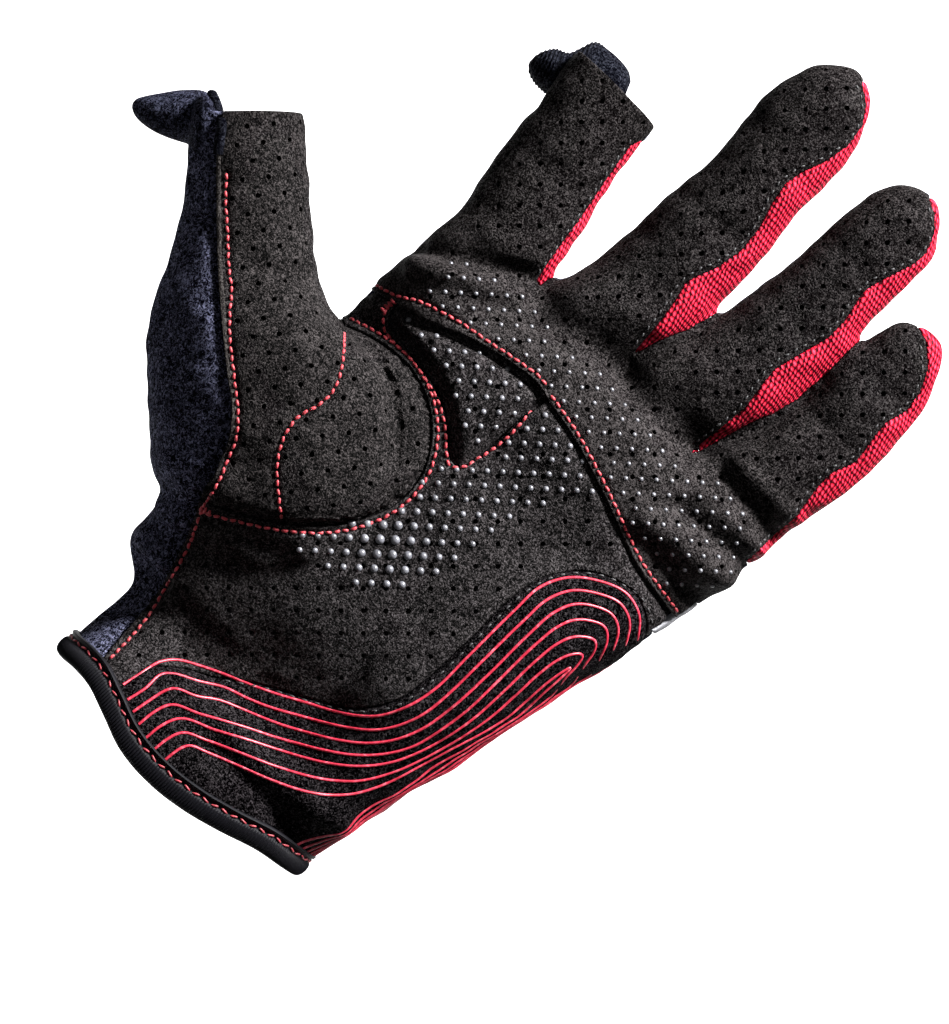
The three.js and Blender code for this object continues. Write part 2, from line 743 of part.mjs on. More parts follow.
addPart(group, 'palm_panel', palmPanel, materials.suede);
addPart(group, 'finger_panel', fingerPanel, materials.suede);
addPart(group, 'thumb_panel', thumbPanel, materials.thumbSuede);
addPart(group, 'knuckle_pad', knucklePad, materials.suede);
addPart(group, 'heel_panel', heelPanel, materials.suede);
addPart(group, 'back_panel', backPanel, materials.fleece);
Object.entries(gussets).forEach(([name, field]) => {
  const gusset = shell.intersect(field).intersect(gussetHalf);
  addPart(group, `${name}_gusset`, gusset, materials.mesh);
});
addPart(group, 'thumb_cap', thumbCap, materials.fleece);
addPart(group, 'index_cap', indexCap, materials.fleece);
addPart(group, 'wrist_binding', bindingBand(), materials.elastic);
addPart(group, 'edge_trim', edgeTrim, materials.greyKnit);

export default group;
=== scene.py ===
"""Looks of the left-hand glove in its worn form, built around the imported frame.

The hand's form is lofted from section tables, fused into one fine skin, and cut along the seams
into panels. Sizes are millimetres in the tables and metres in Blender.
"""

import math

import bpy
import numpy as np
from mathutils import Matrix, Vector
from mathutils.bvhtree import BVHTree


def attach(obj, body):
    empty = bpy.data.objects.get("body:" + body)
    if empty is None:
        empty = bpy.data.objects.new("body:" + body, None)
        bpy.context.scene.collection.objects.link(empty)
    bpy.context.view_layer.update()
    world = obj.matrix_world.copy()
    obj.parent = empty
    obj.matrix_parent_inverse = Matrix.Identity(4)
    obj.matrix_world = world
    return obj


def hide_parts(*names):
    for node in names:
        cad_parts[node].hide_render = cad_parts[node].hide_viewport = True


MM = 0.001
SKIN_VOXEL = 0.9
CLOTH = 1.3
PALM_POWER, FINGER_POWER, THUMB_POWER, CAP_POWER = 2.4, 2.2, 2.1, 2.1
THUMB_TILT, CAP_TILT = -45, -113
THUMB_CAP_ROOT, INDEX_CAP_ROOT = (-93, 101), (-38, 171.5)
THUMB_CUT, INDEX_CUT = 142.0, 171.5
BINDING_TALL = 6.0
GUSSET_WRAP = 4.0
SEAM_GAP = 0.03
BACK_TRIANGLES = 185000

# Red stitches: pitch, length, thickness and how far they lie aslant, in radians.
RED_PITCH, RED_LENGTH, RED_WIDE, RED_SWAY = 1.95, 1.62, 0.7, 0.15
# Small round holes of the suede: radius, depth, and how far they stay from seams and gussets.
HOLE_RADIUS, HOLE_DEPTH = 0.7, 1.15
HOLE_TO_SEAM, HOLE_TO_GUSSET = 2.0, 1.8
# Printed lines: width, height and step, then the depth of the first way back and their pitch.
PRINT_WIDE, PRINT_HIGH, PRINT_STEP = 0.64, 0.26, 0.7
PRINT_BACK, PRINT_PITCH = -2.4, 1.75
# The stitched channel of the binding: how far out and how high above its middle line.
CHANNEL_OUT, CHANNEL_UP = 0.6, 1.5

# Photograph frame: image height, millimetres a pixel, roll of the camera and where it looks.
IMAGE_TALL = 1024
PIXEL = 0.22
CAMERA_ROLL = 45
CAMERA_AIM = (6.46, 0, 83.6)
CAMERA_FAR = 1600
SENSOR = 36

# Rows of a form: along its axis, left and right outline, palm face, back.
PALM = [
    (-14, -36.5, 33.5, -22.5, 23.5),
    (2, -36.5, 34.5, -22.5, 23.0),
    (10, -36.0, 35.8, -21.5, 22.0),
    (17, -35.5, 37.2, -20.5, 21.0),
    (21, -37.0, 38.2, -20.0, 20.5),
    (24.5, -42.0, 39.0, -19.5, 20.0),
    (28, -44.2, 39.6, -19.0, 19.5),
    (34, -44.2, 40.9, -18.0, 19.0),
    (42, -46.0, 42.4, -17.5, 18.5),
    (55, -47.0, 45.2, -17.5, 17.5),
    (68, -46.0, 48.0, -17.0, 17.0),
    (80, -45.0, 51.0, -16.5, 16.5),
    (90, -44.0, 53.0, -16.0, 16.0),
    (97, -43.6, 54.3, -15.5, 15.5),
    (104, -44.4, 55.7, -15.5, 15.0),
    (112, -44.0, 57.3, -15.0, 14.5),
    (120, -42.6, 57.2, -12.6, 13.0),
    (127, -36.0, 51.0, -8.0, 9.0),
]
HEEL = [
    (4, 2, 34.5, -16.5, 12),
    (14, 3, 36.6, -20.0, 12),
    (30, 6, 40.0, -21.5, 12),
    (50, 9, 44.2, -22.0, 12),
    (68, 12, 48.0, -21.0, 12),
    (82, 15, 51.3, -19.0, 11),
    (92, 20, 53.0, -15.8, 10),
    (100, 26, 52.0, -12.0, 9),
]
THUMB = [
    (38, 6.0, 36.0, -15.0, 12.0),
    (46, -1.0, 43.0, -20.5, 13.0),
    (54, -7.0, 48.0, -23.5, 14.0),
    (62, -7.2, 50.0, -25.5, 14.5),
    (71, -7.7, 50.0, -26.5, 14.5),
    (82, -8.2, 47.0, -26.0, 14.0),
    (92, -7.9, 40.0, -24.5, 12.5),
    (98, -7.2, 33.2, -23.0, 11.0),
    (103, -6.0, 30.6, -21.5, 9.5),
    (109, -3.4, 29.3, -20.0, 8.0),
    (116, -1.2, 28.3, -19.0, 6.5),
    (126, 0.5, 27.3, -18.0, 5.0),
    (136, 1.2, 26.6, -17.5, 4.0),
    (142, 1.8, 25.6, -17.0, 3.5),
    (149, 2.6, 24.5, -16.5, 3.0),
]
INDEX = [
    (100, -40.0, -15.0, -11.0, 11.0),
    (112, -43.6, -15.0, -13.5, 12.5),
    (119, -43.8, -16.0, -12.5, 12.0),
    (125, -42.5, -17.2, -11.5, 11.5),
    (131, -43.2, -17.9, -11.5, 10.8),
    (142, -45.1, -20.4, -11.8, 9.8),
    (150, -46.4, -22.2, -12.0, 9.0),
    (160, -47.8, -23.7, -12.2, 8.2),
    (168, -48.8, -24.9, -12.5, 7.3),
    (176, -48.4, -26.8, -12.8, 6.2),
]
MIDDLE = [
    (104, -14.0, 5.0, -11.0, 12.0),
    (112, -17.0, 7.0, -14.0, 13.0),
    (126, -17.8, 6.8, -12.0, 12.0),
    (131, -17.6, 7.8, -11.8, 11.6),
    (136, -15.0, 9.4, -11.8, 11.0),
    (145, -13.0, 12.2, -12.0, 10.4),
    (149, -12.8, 12.8, -12.1, 10.0),
    (153, -12.6, 12.2, -12.2, 9.7),
    (162, -12.5, 12.2, -12.6, 8.8),
    (175, -11.5, 11.0, -13.2, 7.0),
    (185, -12.0, 10.1, -13.8, 5.6),
    (194, -12.5, 9.6, -14.4, 4.2),
    (200, -12.0, 9.0, -14.6, 3.0),
    (205, -10.2, 7.2, -14.0, 1.2),
    (208.5, -7.2, 4.8, -12.4, -1.2),
    (210.6, -3.6, 1.8, -10.0, -4.0),
    (211, -1.4, -0.2, -7.6, -6.4),
]
RING = [
    (104, 10.0, 29.0, -11.0, 11.5),
    (112, 7.0, 31.5, -14.0, 12.5),
    (127, 7.0, 30.9, -12.0, 11.3),
    (133, 7.0, 34.2, -11.6, 10.8),
    (138, 8.8, 36.4, -11.6, 10.4),
    (145, 11.4, 38.4, -11.8, 9.8),
    (149, 12.6, 39.2, -11.9, 9.4),
    (153, 14.2, 39.6, -12.0, 9.0),
    (159, 15.4, 40.1, -12.2, 8.4),
    (167, 16.5, 40.1, -12.6, 7.5),
    (171, 16.8, 38.9, -12.8, 7.0),
    (180, 17.2, 38.8, -13.2, 5.8),
    (188, 18.0, 38.4, -13.6, 4.6),
    (194, 18.6, 37.8, -13.8, 3.4),
    (198.5, 20.2, 35.8, -13.0, 1.6),
    (201.5, 22.8, 33.2, -11.6, -0.8),
    (203.1, 25.8, 30.2, -9.6, -3.6),
    (203.5, 27.5, 28.5, -7.4, -6.0),
]
LITTLE = [
    (100, 35.0, 52.0, -10.0, 9.0),
    (108, 32.0, 56.2, -12.5, 10.5),
    (118, 31.8, 57.6, -12.0, 10.8),
    (127, 32.0, 58.6, -11.0, 10.2),
    (134, 34.6, 59.5, -10.4, 9.4),
    (142, 37.6, 60.8, -10.2, 8.6),
    (150, 39.2, 61.5, -10.2, 7.8),
    (160, 38.9, 61.5, -10.4, 6.6),
    (167, 38.9, 60.5, -10.6, 5.7),
    (171, 40.6, 59.6, -10.6, 5.0),
    (175, 41.2, 58.2, -10.6, 4.2),
    (179, 43.0, 55.8, -9.6, 2.2),
    (181.6, 46.4, 53.4, -8.0, 0.0),
    (182.5, 49.4, 50.6, -4.8, -3.6),
]
THUMB_CAP = [
    (-3, -3.0, 5.0, -9.0, 3.5),
    (1, -3.5, 7.0, -9.5, 4.5),
    (4.2, -3.6, 8.6, -9.5, 5.0),
    (9.2, -3.9, 7.2, -8.5, 4.5),
    (13.4, -3.5, 4.8, -7.0, 3.0),
    (16.8, -2.3, 2.6, -5.0, 1.0),
    (18.4, -0.6, 1.2, -3.0, -1.0),
    (18.6, 0.1, 0.5, -2.2, -1.8),
]
# Soft bulge where the thumb's fleece turns over into its cap, along the thumb.
THUMB_FOLD = [
    (126, 2.2, 7.6, -12.0, 2.0),
    (131, 1.4, 8.4, -13.8, 3.0),
    (136, 1.0, 9.0, -15.0, 3.6),
    (140.5, 1.4, 9.2, -15.2, 4.0),
    (143.6, 2.2, 8.8, -13.8, 3.4),
    (145.6, 3.2, 8.0, -11.4, 1.6),
    (146.5, 4.4, 6.8, -8.6, -1.0),
]
INDEX_CAP = [
    (-3, -3.4, 2.8, 0.5, 12.5),
    (-1.6, -5.2, 4.8, -1.4, 14.6),
    (4, -7.0, 7.4, -2.5, 16.0),
    (7.6, -7.7, 8.0, -2.5, 16.0),
    (10, -7.6, 5.6, -2.5, 15.6),
    (11.8, -7.3, 3.7, -2.5, 15.0),
    (15, -6.3, 3.3, -1.5, 13.5),
    (17.6, -4.9, 1.6, 1.0, 11.0),
    (19, -3.3, -0.4, 3.8, 8.4),
    (19.4, -2.3, -1.5, 5.6, 6.6),
]

# Line that parts the palm side from the back: height and depth.
PARTING = [(-40, 1), (60, 1), (120, 0.5), (150, -0.5), (180, -3.5), (215, -6.5), (240, -7)]

# Seams and outlines as points seen from the palm: across, along.
FLEECE_SEAM = [
    (-28.4, -30), (-28.4, 4), (-29.2, 12), (-30.3, 22), (-32.4, 30), (-34.4, 36), (-37.6, 43),
    (-38.6, 48), (-40.4, 53), (-42.8, 58), (-47, 62.7), (-52, 66.4), (-62, 74.4), (-72, 82.9),
    (-82, 92.4), (-88, 98.4), (-91.4, 102.6), (-94.6, 107.2),
]
THENAR_EDGE = [
    (-37.6, 42.5), (-30, 46.4), (-22, 51.5), (-14.5, 58), (-9.5, 65), (-6.8, 73), (-7.6, 82),
    (-11.6, 88.5), (-18, 93.6), (-26, 96), (-35, 95.4), (-43, 93),
]
CROSS_SEAM = [
    (-60, 101.5), (-46, 101.8), (-39, 103.4), (-30, 106), (-20, 110), (-10, 112.4), (-3, 113),
    (0, 112.3), (10, 110.4), (20, 107.4), (30, 103.9), (40, 100.4), (50, 98.8), (80, 98),
]
HEEL_EDGE = [
    (-21, -30), (-21, 3), (-20, 10), (-16, 14), (-8, 18.5), (0, 24), (10, 29.5), (18, 35), (23, 42),
    (24.5, 50), (25, 60), (25, 70), (25.5, 80), (27.5, 86), (32, 91.5), (38, 95), (45, 96), (51, 93),
    (53.6, 90), (80, 88),
]
KNUCKLE_PAD = [
    (-38, 103.4), (-37.2, 100.6), (-35.2, 98.8), (-30, 98.4), (-22, 97.4), (-15, 95.2), (-9, 90.8),
    (-5, 87.9), (-3, 88), (-1.8, 90), (-1, 95), (-0.8, 105), (-0.3, 112.2), (-3, 112.9),
    (-10, 112.4), (-20, 110), (-30, 106),
]
GUSSETS = {
    "index": [
        (-19.5, 129), (-20.8, 137), (-22.6, 148), (-24.6, 158), (-25.6, 164.5), (-24.5, 168), (-16, 170),
        (-16, 138), (-18, 131.5), (-18.2, 129),
    ],
    "middle": [
        (6.8, 133), (6.4, 138), (5.4, 145), (4, 151), (4.6, 154), (6.6, 159), (7.5, 165), (7, 171),
        (5, 177), (4, 182), (5, 187), (7, 192), (8.1, 198), (7.2, 203.6), (4, 207.8), (0.5, 210),
        (-1.5, 214), (15, 214), (16, 170), (13, 151), (11.6, 145), (8.8, 138), (7.1, 133),
    ],
    "ring": [
        (30.9, 127), (31.9, 133), (32.5, 141), (31.5, 147), (31, 152), (32.5, 158), (34.5, 165),
        (34.5, 170), (33, 176), (33, 179), (34.5, 184), (36.5, 190), (36.8, 193), (35, 198),
        (32, 201), (28.6, 202.6), (26.8, 207), (42, 207), (40, 175), (39.65, 169), (39.6, 159),
        (39.3, 151), (38, 145), (36.6, 142), (34.2, 134.5), (31.5, 127),
    ],
    "little": [
        (56.8, 118), (57, 125), (57.5, 133), (56, 140), (56, 145), (58, 150), (57, 157), (56.5, 161),
        (58, 166), (57.3, 171), (54.8, 176), (50, 180), (46.4, 181.3), (44, 186), (70, 186),
        (70, 118),
    ],
}
EDGE_TRIM = [(52.4, 92.5), (80, 92.5), (80, 104), (55.2, 104), (54, 98.4)]

# Height of the binding's middle line around the wrist: turn in degrees, height.
BINDING = [
    (0, 2.3), (30, 1.9), (60, 1.3), (90, 0.9), (120, 0.7), (150, 0.4), (180, 0.2), (200, 0.4),
    (215, 0.9), (229, 0.6), (243, -1.5), (257, -4.2), (268, -4.9), (279, -3.9), (293, -1.8),
    (311, 0.9), (334, 2), (360, 2.3),
]

# Folds of the palm side: points of the fold's line, half width, depth (less than 0 stands proud).
FOLDS = [
    # Index finger's root.
    ([(-45, 115.5), (-37, 119.6), (-30, 123.6), (-22, 128.6)], 2.4, 2.3),
    ([(-40.5, 113), (-36, 115.4), (-28, 119.4), (-20, 123)], 2.6, -2.1),
    ([(-44, 124.5), (-34, 128.6)], 2.6, -0.7),
    # Middle and ring fingers' roots.
    ([(-20, 121), (-10, 124), (0, 128)], 4.6, 2.0),
    ([(11, 126.5), (18, 126), (26, 129)], 4.8, 2.4),
    ([(-12, 118), (0, 121), (14, 121), (26, 121)], 6.0, -1.1),
    ([(-10, 134), (6, 141)], 4.0, -0.7),
    ([(18, 137), (32, 146)], 4.5, -0.7),
    # Little finger's root.
    ([(33, 109.2), (46, 110.6), (59, 112.5)], 2.7, -1.5),
    ([(33, 103.6), (46, 104.6), (57, 105)], 2.4, 1.3),
    ([(37, 116), (46, 116.7), (59, 118.4)], 2.2, 1.5),
    ([(39, 121.5), (48, 121.8), (57, 122)], 1.8, -0.8),
    ([(39, 128), (46, 127.2), (60, 126.4)], 2.5, 2.1),
    ([(36, 132.4), (46, 132), (57, 132.8)], 2.2, -0.9),
    # Heel and wrist.
    ([(-14, 11.5), (-5, 12.8), (5, 12.6), (15, 12.2), (24, 12.8), (33, 15)], 3.2, -1.6),
    ([(-18, 18), (-6, 19.4), (6, 19), (16, 19.4), (26, 21)], 3.0, 0.9),
    ([(2, 7.4), (14, 7), (26, 7)], 2.6, 1.0),
    ([(-36, 41), (-16, 47)], 3.0, 1.4),
    ([(-42, 96.5), (-20, 100)], 1.6, 1.0),
    # Thumb side of the fleece.
    ([(-45, 21.5), (-33, 23)], 2.2, 2.0),
    ([(-47, 37.5), (-38, 39)], 2.6, 1.8),
    ([(-50, 44), (-40, 50)], 2.2, -1.0),
    # Soft creases of the finger joints and the thumb.
    ([(-10, 165), (5, 166)], 2.6, 0.5),
    ([(-10, 187), (5, 186)], 2.4, 0.5),
    ([(19, 163), (33, 163)], 2.4, 0.5),
    ([(20, 181), (34, 180)], 2.4, 0.5),
    ([(43, 151), (56, 151)], 2.4, 0.5),
    ([(44, 166), (56, 166)], 2.2, 0.6),
    ([(-44, 147), (-27, 148)], 2.6, 0.5),
    ([(-64, 88), (-60, 90.5), (-57, 92.6)], 2.4, 1.1),
]
# Broad dents of the palm side: middle, half sizes along and across, turn in degrees, depth.
DENTS = [
    ((-9, 22.5), (27, 12), 12, 8.4),
    ((14, 92), (16, 9), -20, 1.6),
    ((-40, 97), (12, 5), 5, 1.0),
    ((-38, 53), (12, 9), 45, 2.4),
    ((14, 118), (30, 7), 0, -0.8),
]

# Lines of red stitches.
STITCHES = {
    "fleece_seam": [
        (-84, 97.8), (-81.5, 95.1), (-79.4, 92.9), (-76.4, 90.3), (-73.4, 87.6), (-69.4, 83.9),
        (-64.4, 79.9), (-62, 77.1), (-59.5, 74.5), (-49.6, 66.4), (-44.8, 62.5), (-41, 58),
        (-39, 53), (-37, 48), (-36, 43), (-33, 36), (-31, 30), (-29.5, 24), (-28, 18),
        (-27.3, 12), (-27, 3.6),
    ],
    "thenar_seam": [
        (-36, 41.2), (-29.5, 45.2), (-21.3, 50.5), (-13.6, 57.2), (-8.5, 64.4), (-5.6, 73),
        (-6.4, 82.3), (-10.7, 89.4), (-17.5, 94.7), (-26, 97.2), (-35, 96.6), (-43, 94.2),
    ],
    "thenar_crease": [
        (-41.3, 91), (-39.5, 89.3), (-37, 86.5), (-35, 83.5), (-33.7, 80), (-34, 75), (-35, 72),
        (-34.5, 67), (-32, 62), (-27, 57), (-22, 53),
    ],
    "cross_seam_left": [
        (-44, 103.5), (-39, 105), (-35, 107.4), (-30, 109.2), (-25, 110.6), (-16, 112.3),
        (-12, 113.2), (-8, 113.9), (-4, 114.4), (-1, 113.9),
    ],
    "cross_seam_right": [
        (0, 113.4), (10, 111.6), (20, 108.7), (30, 105.2), (40, 101.7), (50, 100.1), (53.5, 99.6),
    ],
    "pad_side": [
        (-0.5, 110), (0, 100), (-1, 93), (-2.5, 88.2), (-4.5, 86.8), (-7, 88.4), (-11, 92),
        (-16, 95), (-22, 96.6), (-28, 97.4), (-33.5, 97.4), (-36.4, 98.4), (-38.4, 101), (-39, 104),
    ],
}
# Outermost to innermost line of the heel's print.
HEEL_LINES = [
    [
        (-21, 3), (-20, 8), (-19, 12), (-16.5, 15), (-13, 17), (-8, 19.5), (0, 23), (5, 25.5),
        (10, 28.3), (15, 31), (20, 34.5), (23, 37.5), (25, 41), (26.5, 45), (27.5, 50), (27.6, 60),
        (27.7, 75), (28, 82), (31, 88), (36, 92), (43, 94.5), (48, 93), (51.5, 89),
    ],
    [
        (-18, 1.5), (-17, 6), (-16.7, 10.8), (-15.5, 12), (-10, 15), (-5, 18), (0, 19.7), (5, 21.9),
        (10, 24.7), (15, 27.6), (20, 30.9), (25, 35.2), (28, 40), (29.7, 45), (30.4, 52),
        (30.5, 60), (30.7, 75), (31, 81), (33.5, 86.5), (38, 90), (43.5, 92), (47.5, 90.5),
        (50.3, 86.5),
    ],
    [
        (-15.3, 0.5), (-14.5, 5), (-13.7, 8.5), (-13.2, 9.7), (-8, 12.5), (-4, 15.3), (0, 17),
        (5, 19), (10, 21.3), (15, 24.1), (20, 27.2), (25, 31.1), (29, 36), (31.5, 41.5), (33, 50),
        (33.5, 60), (33.6, 74), (34, 80), (36, 84.8), (39.5, 87.6), (44, 89), (47, 87.5), (49, 84),
    ],
    [
        (-12.5, -0.5), (-12.2, 3), (-10.8, 7.2), (-5, 10.2), (0, 13), (5, 15.6), (10, 18),
        (15, 20.8), (20, 23.9), (25, 27.5), (30, 32.8), (33, 38), (34.8, 45), (35.8, 52), (36, 60),
        (36.2, 73), (36.8, 78.5), (38.5, 82.5), (41.2, 84.8), (44.5, 86), (46.8, 84.2),
        (48.2, 81),
    ],
    [
        (-9.3, -1.5), (-9, 2), (-7.5, 6.2), (0, 10.2), (7, 14), (13, 16.9), (18, 19.6),
        (23, 22.8), (28, 27), (32, 32), (35, 38.5), (37, 45.5), (38.1, 52), (38.5, 60), (38.8, 71),
        (39.4, 76), (41, 79.8), (43, 81.6), (45, 82.5), (46.4, 80.6), (47, 77),
    ],
    [
        (-6.3, -2), (-5.8, 2), (-4.7, 4.8), (0, 7.2), (8, 10.9), (15, 14), (20, 16.6),
        (25, 19.8), (30, 24.4), (34, 31), (37, 39), (39.4, 48), (40.6, 55), (41, 62), (41.3, 69),
        (42, 73.5), (43.4, 76.8), (45.2, 78.5), (45.9, 76), (46, 72),
    ],
    [
        (-3, -2), (-2.5, 2), (-1.8, 3.8), (2, 5.5), (10, 8.7), (17, 11.5), (22, 13.9), (27, 17.2),
        (31, 21.3), (34.4, 27.5), (37.2, 36), (39.6, 44), (41.8, 51), (43.2, 57), (43.6, 63),
        (43.9, 68), (44.5, 72), (45.3, 75), (45.3, 71), (45, 66),
    ],
]

# Where the gel dots are, seen from the palm.
DOT_AREAS = {
    "palm": [
        (-17.4, 52.3), (-14, 60.7), (-8.2, 71.1), (-7.3, 80.4), (-5.8, 85.7), (2.3, 97.2),
        (0.5, 100), (1, 111.5), (5.4, 111.2), (23.3, 105.8), (16.2, 97.1), (11.5, 72.2),
        (7.3, 59.6), (2, 54.3), (-14.8, 50.6),
    ],
    "pad": [
        (-36.5, 102.8), (-30, 105), (-20, 109), (-10, 111.4), (-2, 111.6), (-2, 100), (-2.4, 92),
        (-6, 93), (-12, 97.3), (-20, 99.5), (-30, 100.2),
    ],
    "finger": [
        (-36.5, 108), (-36, 121), (-30, 121.5), (-19, 125.5), (-11, 125), (-7, 120), (3.5, 126),
        (9, 124.5), (17, 124.5), (26, 124), (33, 123.5), (39, 127), (48, 126), (55, 120.5),
        (56.5, 114), (55, 105), (48, 102), (38, 103.5), (20, 110), (0, 114), (-12, 114.5),
    ],
}

# Black stitches just inside the suede's edges along the gussets.
EDGE_STITCHES = {
    "index": [(-20.6, 130), (-22.1, 138), (-23.9, 148), (-25.9, 158), (-27.2, 167)],
    "middle": [
        (5.3, 134), (4.9, 138), (4, 144.5), (2.7, 150.6), (3.2, 154.6), (5.2, 159.8), (6.1, 165),
        (5.6, 170.7), (3.6, 176.8), (2.6, 182), (3.6, 187.4), (5.6, 192.4), (6.6, 198),
        (5.9, 202.8), (3.1, 206.6), (-1, 208.6),
    ],
    "ring": [
        (29.8, 128.5), (30.6, 134), (31.1, 141), (30, 147), (29.6, 152.4), (31.2, 158.8),
        (33, 165.2), (33, 169.8), (31.6, 175.6), (31.6, 179.4), (33.2, 184.8), (35, 190.4),
        (35.3, 193), (33.8, 197.2), (31.2, 199.8), (28, 201.2),
    ],
    "little": [
        (55.5, 119), (55.7, 126), (56, 132.6), (54.6, 139.4), (54.6, 145.2), (56.4, 150.2),
        (55.6, 156.8), (55.2, 161.2), (56.5, 166), (55.9, 170.4), (53.6, 174.8), (49.2, 178.6),
    ],
}
# Bars of stitches at the ends of two seams: across, along, direction in radians.
BAR_TACKS = [(-35.6, 42.3, 0.3), (-38.8, 102.2, 1.5)]

# Section of the binding, out and up: a ribbed roll, a stitched channel and a beaded edge.
BINDING_SECTION = [
    (-1.8, -2.0), (-1.2, -2.9), (-0.4, -3.2), (0.4, -3.0), (1.0, -2.3), (1.3, -1.2), (1.25, 0),
    (0.95, 0.8), (0.6, 1.25), (0.55, 1.7), (0.65, 2.1), (1.0, 2.4), (1.1, 2.8), (0.8, 3.1), (0.2, 3.15),
    (-1.2, 3.0), (-1.8, 2.4),
]
# Sections of a printed line, in shares of its width and height, and of a hem.
PRINT_SECTION = [
    (-0.5, -0.6), (-0.46, 0.35), (-0.25, 0.85), (0, 1), (0.25, 0.85), (0.46, 0.35), (0.5, -0.6),
]
HEM_SECTION = [
    (-1.6, -0.8), (-1.7, 0.1), (-1.2, 0.75), (-0.4, 1.0), (0.5, 0.95), (1.3, 0.6), (1.7, 0),
    (1.6, -0.8),
]
# Hems of the thumb's and the index finger's cap: share of the section, line.
HEMS = [
    (0.72, [(-98.9, 107.9), (-96.9, 107.4), (-94.8, 106.4), (-92.2, 104.4), (-90, 101.6), (-88.2, 99.2)]),
    (0.5, [(-49.9, 168.8), (-49.3, 166.6), (-48.5, 163.6), (-47.8, 161.6)]),
]
# Levels of a gel dot, in shares of its radius and height.
DOT_LEVELS = [(1.12, -0.25), (1.06, 0.05), (0.97, 0.35), (0.8, 0.65), (0.5, 0.9), (0.2, 0.99)]
# Faint waves of the cloth: length, height.
WAVES = [(17.0, 0.1), (10.0, 0.06), (6.0, 0.045)]


def srgb(red, green, blue):
    """Linear colour of an sRGB one given from 0 to 255."""
    values = [value / 255 for value in (red, green, blue)]
    linear = [v / 12.92 if v <= 0.04045 else ((v + 0.055) / 1.055) ** 2.4 for v in values]
    return (*linear, 1.0)


def smoothstep(value, low, high):
    part = np.clip((value - low) / (high - low), 0, 1)
    return part * part * (3 - 2 * part)


# Curves, lofts and the fused skin


def spline(points, step, closed=False):
    """Points every step or so along a smooth curve through the given ones."""
    p = np.asarray(points, float)
    if closed:
        p = np.vstack([p[-1:], p, p[:2]])
    gap = np.linalg.norm(np.diff(p, axis=0), axis=1)
    slope = np.diff(p, axis=0) / gap[:, None]
    tangent = np.vstack([slope[:1], slope[:1], slope[1:]])
    weight = gap[1:, None] + gap[:-1, None]
    tangent[1:-1] = (slope[:-1] * gap[1:, None] + slope[1:] * gap[:-1, None]) / weight
    made = []
    for i in range(1, len(p) - 2) if closed else range(len(p) - 1):
        count = max(1, math.ceil(gap[i] / step))
        t = (np.arange(count) / count)[:, None]
        made.append(
            (2 * t**3 - 3 * t**2 + 1) * p[i]
            + (t**3 - 2 * t**2 + t) * gap[i] * tangent[i]
            + (3 * t**2 - 2 * t**3) * p[i + 1]
            + (t**3 - t**2) * gap[i] * tangent[i + 1]
        )
    return np.vstack(made) if closed else np.vstack([*made, p[-1:]])


def rounded(value, power):
    return np.sign(value) * np.abs(value) ** (2 / power)


def loft(rows, sides, power, tilt=0, root=(0, 0), step=1.5, inset=0.0, swell=None):
    """Vertices and triangles of a closed form through the rows."""
    rows = spline(rows, step)
    turn = np.arange(sides) * 2 * math.pi / sides
    along, left, right, front, back = (column[:, None] for column in rows.T)
    half = np.maximum((right - left) / 2 - inset, 0.2)
    deep = np.maximum((back - front) / 2 - inset, 0.2)
    if swell is not None:
        half = half + swell(along)
        deep = deep + swell(along)
    across = (left + right) / 2 + half * rounded(np.cos(turn), power)
    depth = (front + back) / 2 + deep * rounded(np.sin(turn), power)
    lean = math.radians(tilt)
    x = root[0] + along * math.sin(lean) + across * math.cos(lean)
    z = root[1] + along * math.cos(lean) - across * math.sin(lean)
    verts = np.stack([x, depth, z], axis=2)
    return skin_rings(verts)


def skin_rings(rings, wrap_ends=False):
    """Triangles over rings of points, with a fan over each end, or the ends joined."""
    count, sides = rings.shape[:2]
    verts = rings.reshape(-1, 3)
    row = np.arange(count if wrap_ends else count - 1)[:, None] * sides
    side = np.arange(sides)[None, :]
    after = (side + 1) % sides
    up = (row + sides) % (count * sides)
    a, b, c, d = (v.ravel() for v in (row + side, row + after, up + after, up + side))
    tris = np.vstack([np.stack([a, b, c], 1), np.stack([a, c, d], 1)])
    if wrap_ends:
        return verts, tris
    first, last = len(verts), len(verts) + 1
    verts = np.vstack([verts, rings[0].mean(0), rings[-1].mean(0)])
    s, n = side.ravel(), after.ravel()
    low = np.stack([np.full(sides, first), n, s], 1)
    high = np.stack([np.full(sides, last), (count - 1) * sides + s, (count - 1) * sides + n], 1)
    return verts, np.vstack([tris, low, high])


def merged(parts):
    """One set of vertices and triangles from several."""
    verts, tris, start = [], [], 0
    for part_verts, part_tris in parts:
        verts.append(part_verts)
        tris.append(np.asarray(part_tris) + start)
        start += len(part_verts)
    return np.vstack(verts), np.vstack(tris)


def mesh_of(name, verts, tris, scale=MM):
    mesh = bpy.data.meshes.new(name)
    verts = np.asarray(verts, np.float32) * scale
    tris = np.asarray(tris, np.int32)
    mesh.vertices.add(len(verts))
    mesh.vertices.foreach_set("co", verts.ravel())
    mesh.loops.add(len(tris) * 3)
    mesh.loops.foreach_set("vertex_index", tris.ravel())
    mesh.polygons.add(len(tris))
    mesh.polygons.foreach_set("loop_start", np.arange(0, len(tris) * 3, 3, dtype=np.int32))
    mesh.update(calc_edges=True)
    mesh.validate()
    return mesh


def arrays_of(mesh):
    verts = np.empty(len(mesh.vertices) * 3, np.float32)
    mesh.vertices.foreach_get("co", verts)
    mesh.calc_loop_triangles()
    tris = np.empty(len(mesh.loop_triangles) * 3, np.int32)
    mesh.loop_triangles.foreach_get("vertices", tris)
    return verts.reshape(-1, 3).astype(float), tris.reshape(-1, 3)


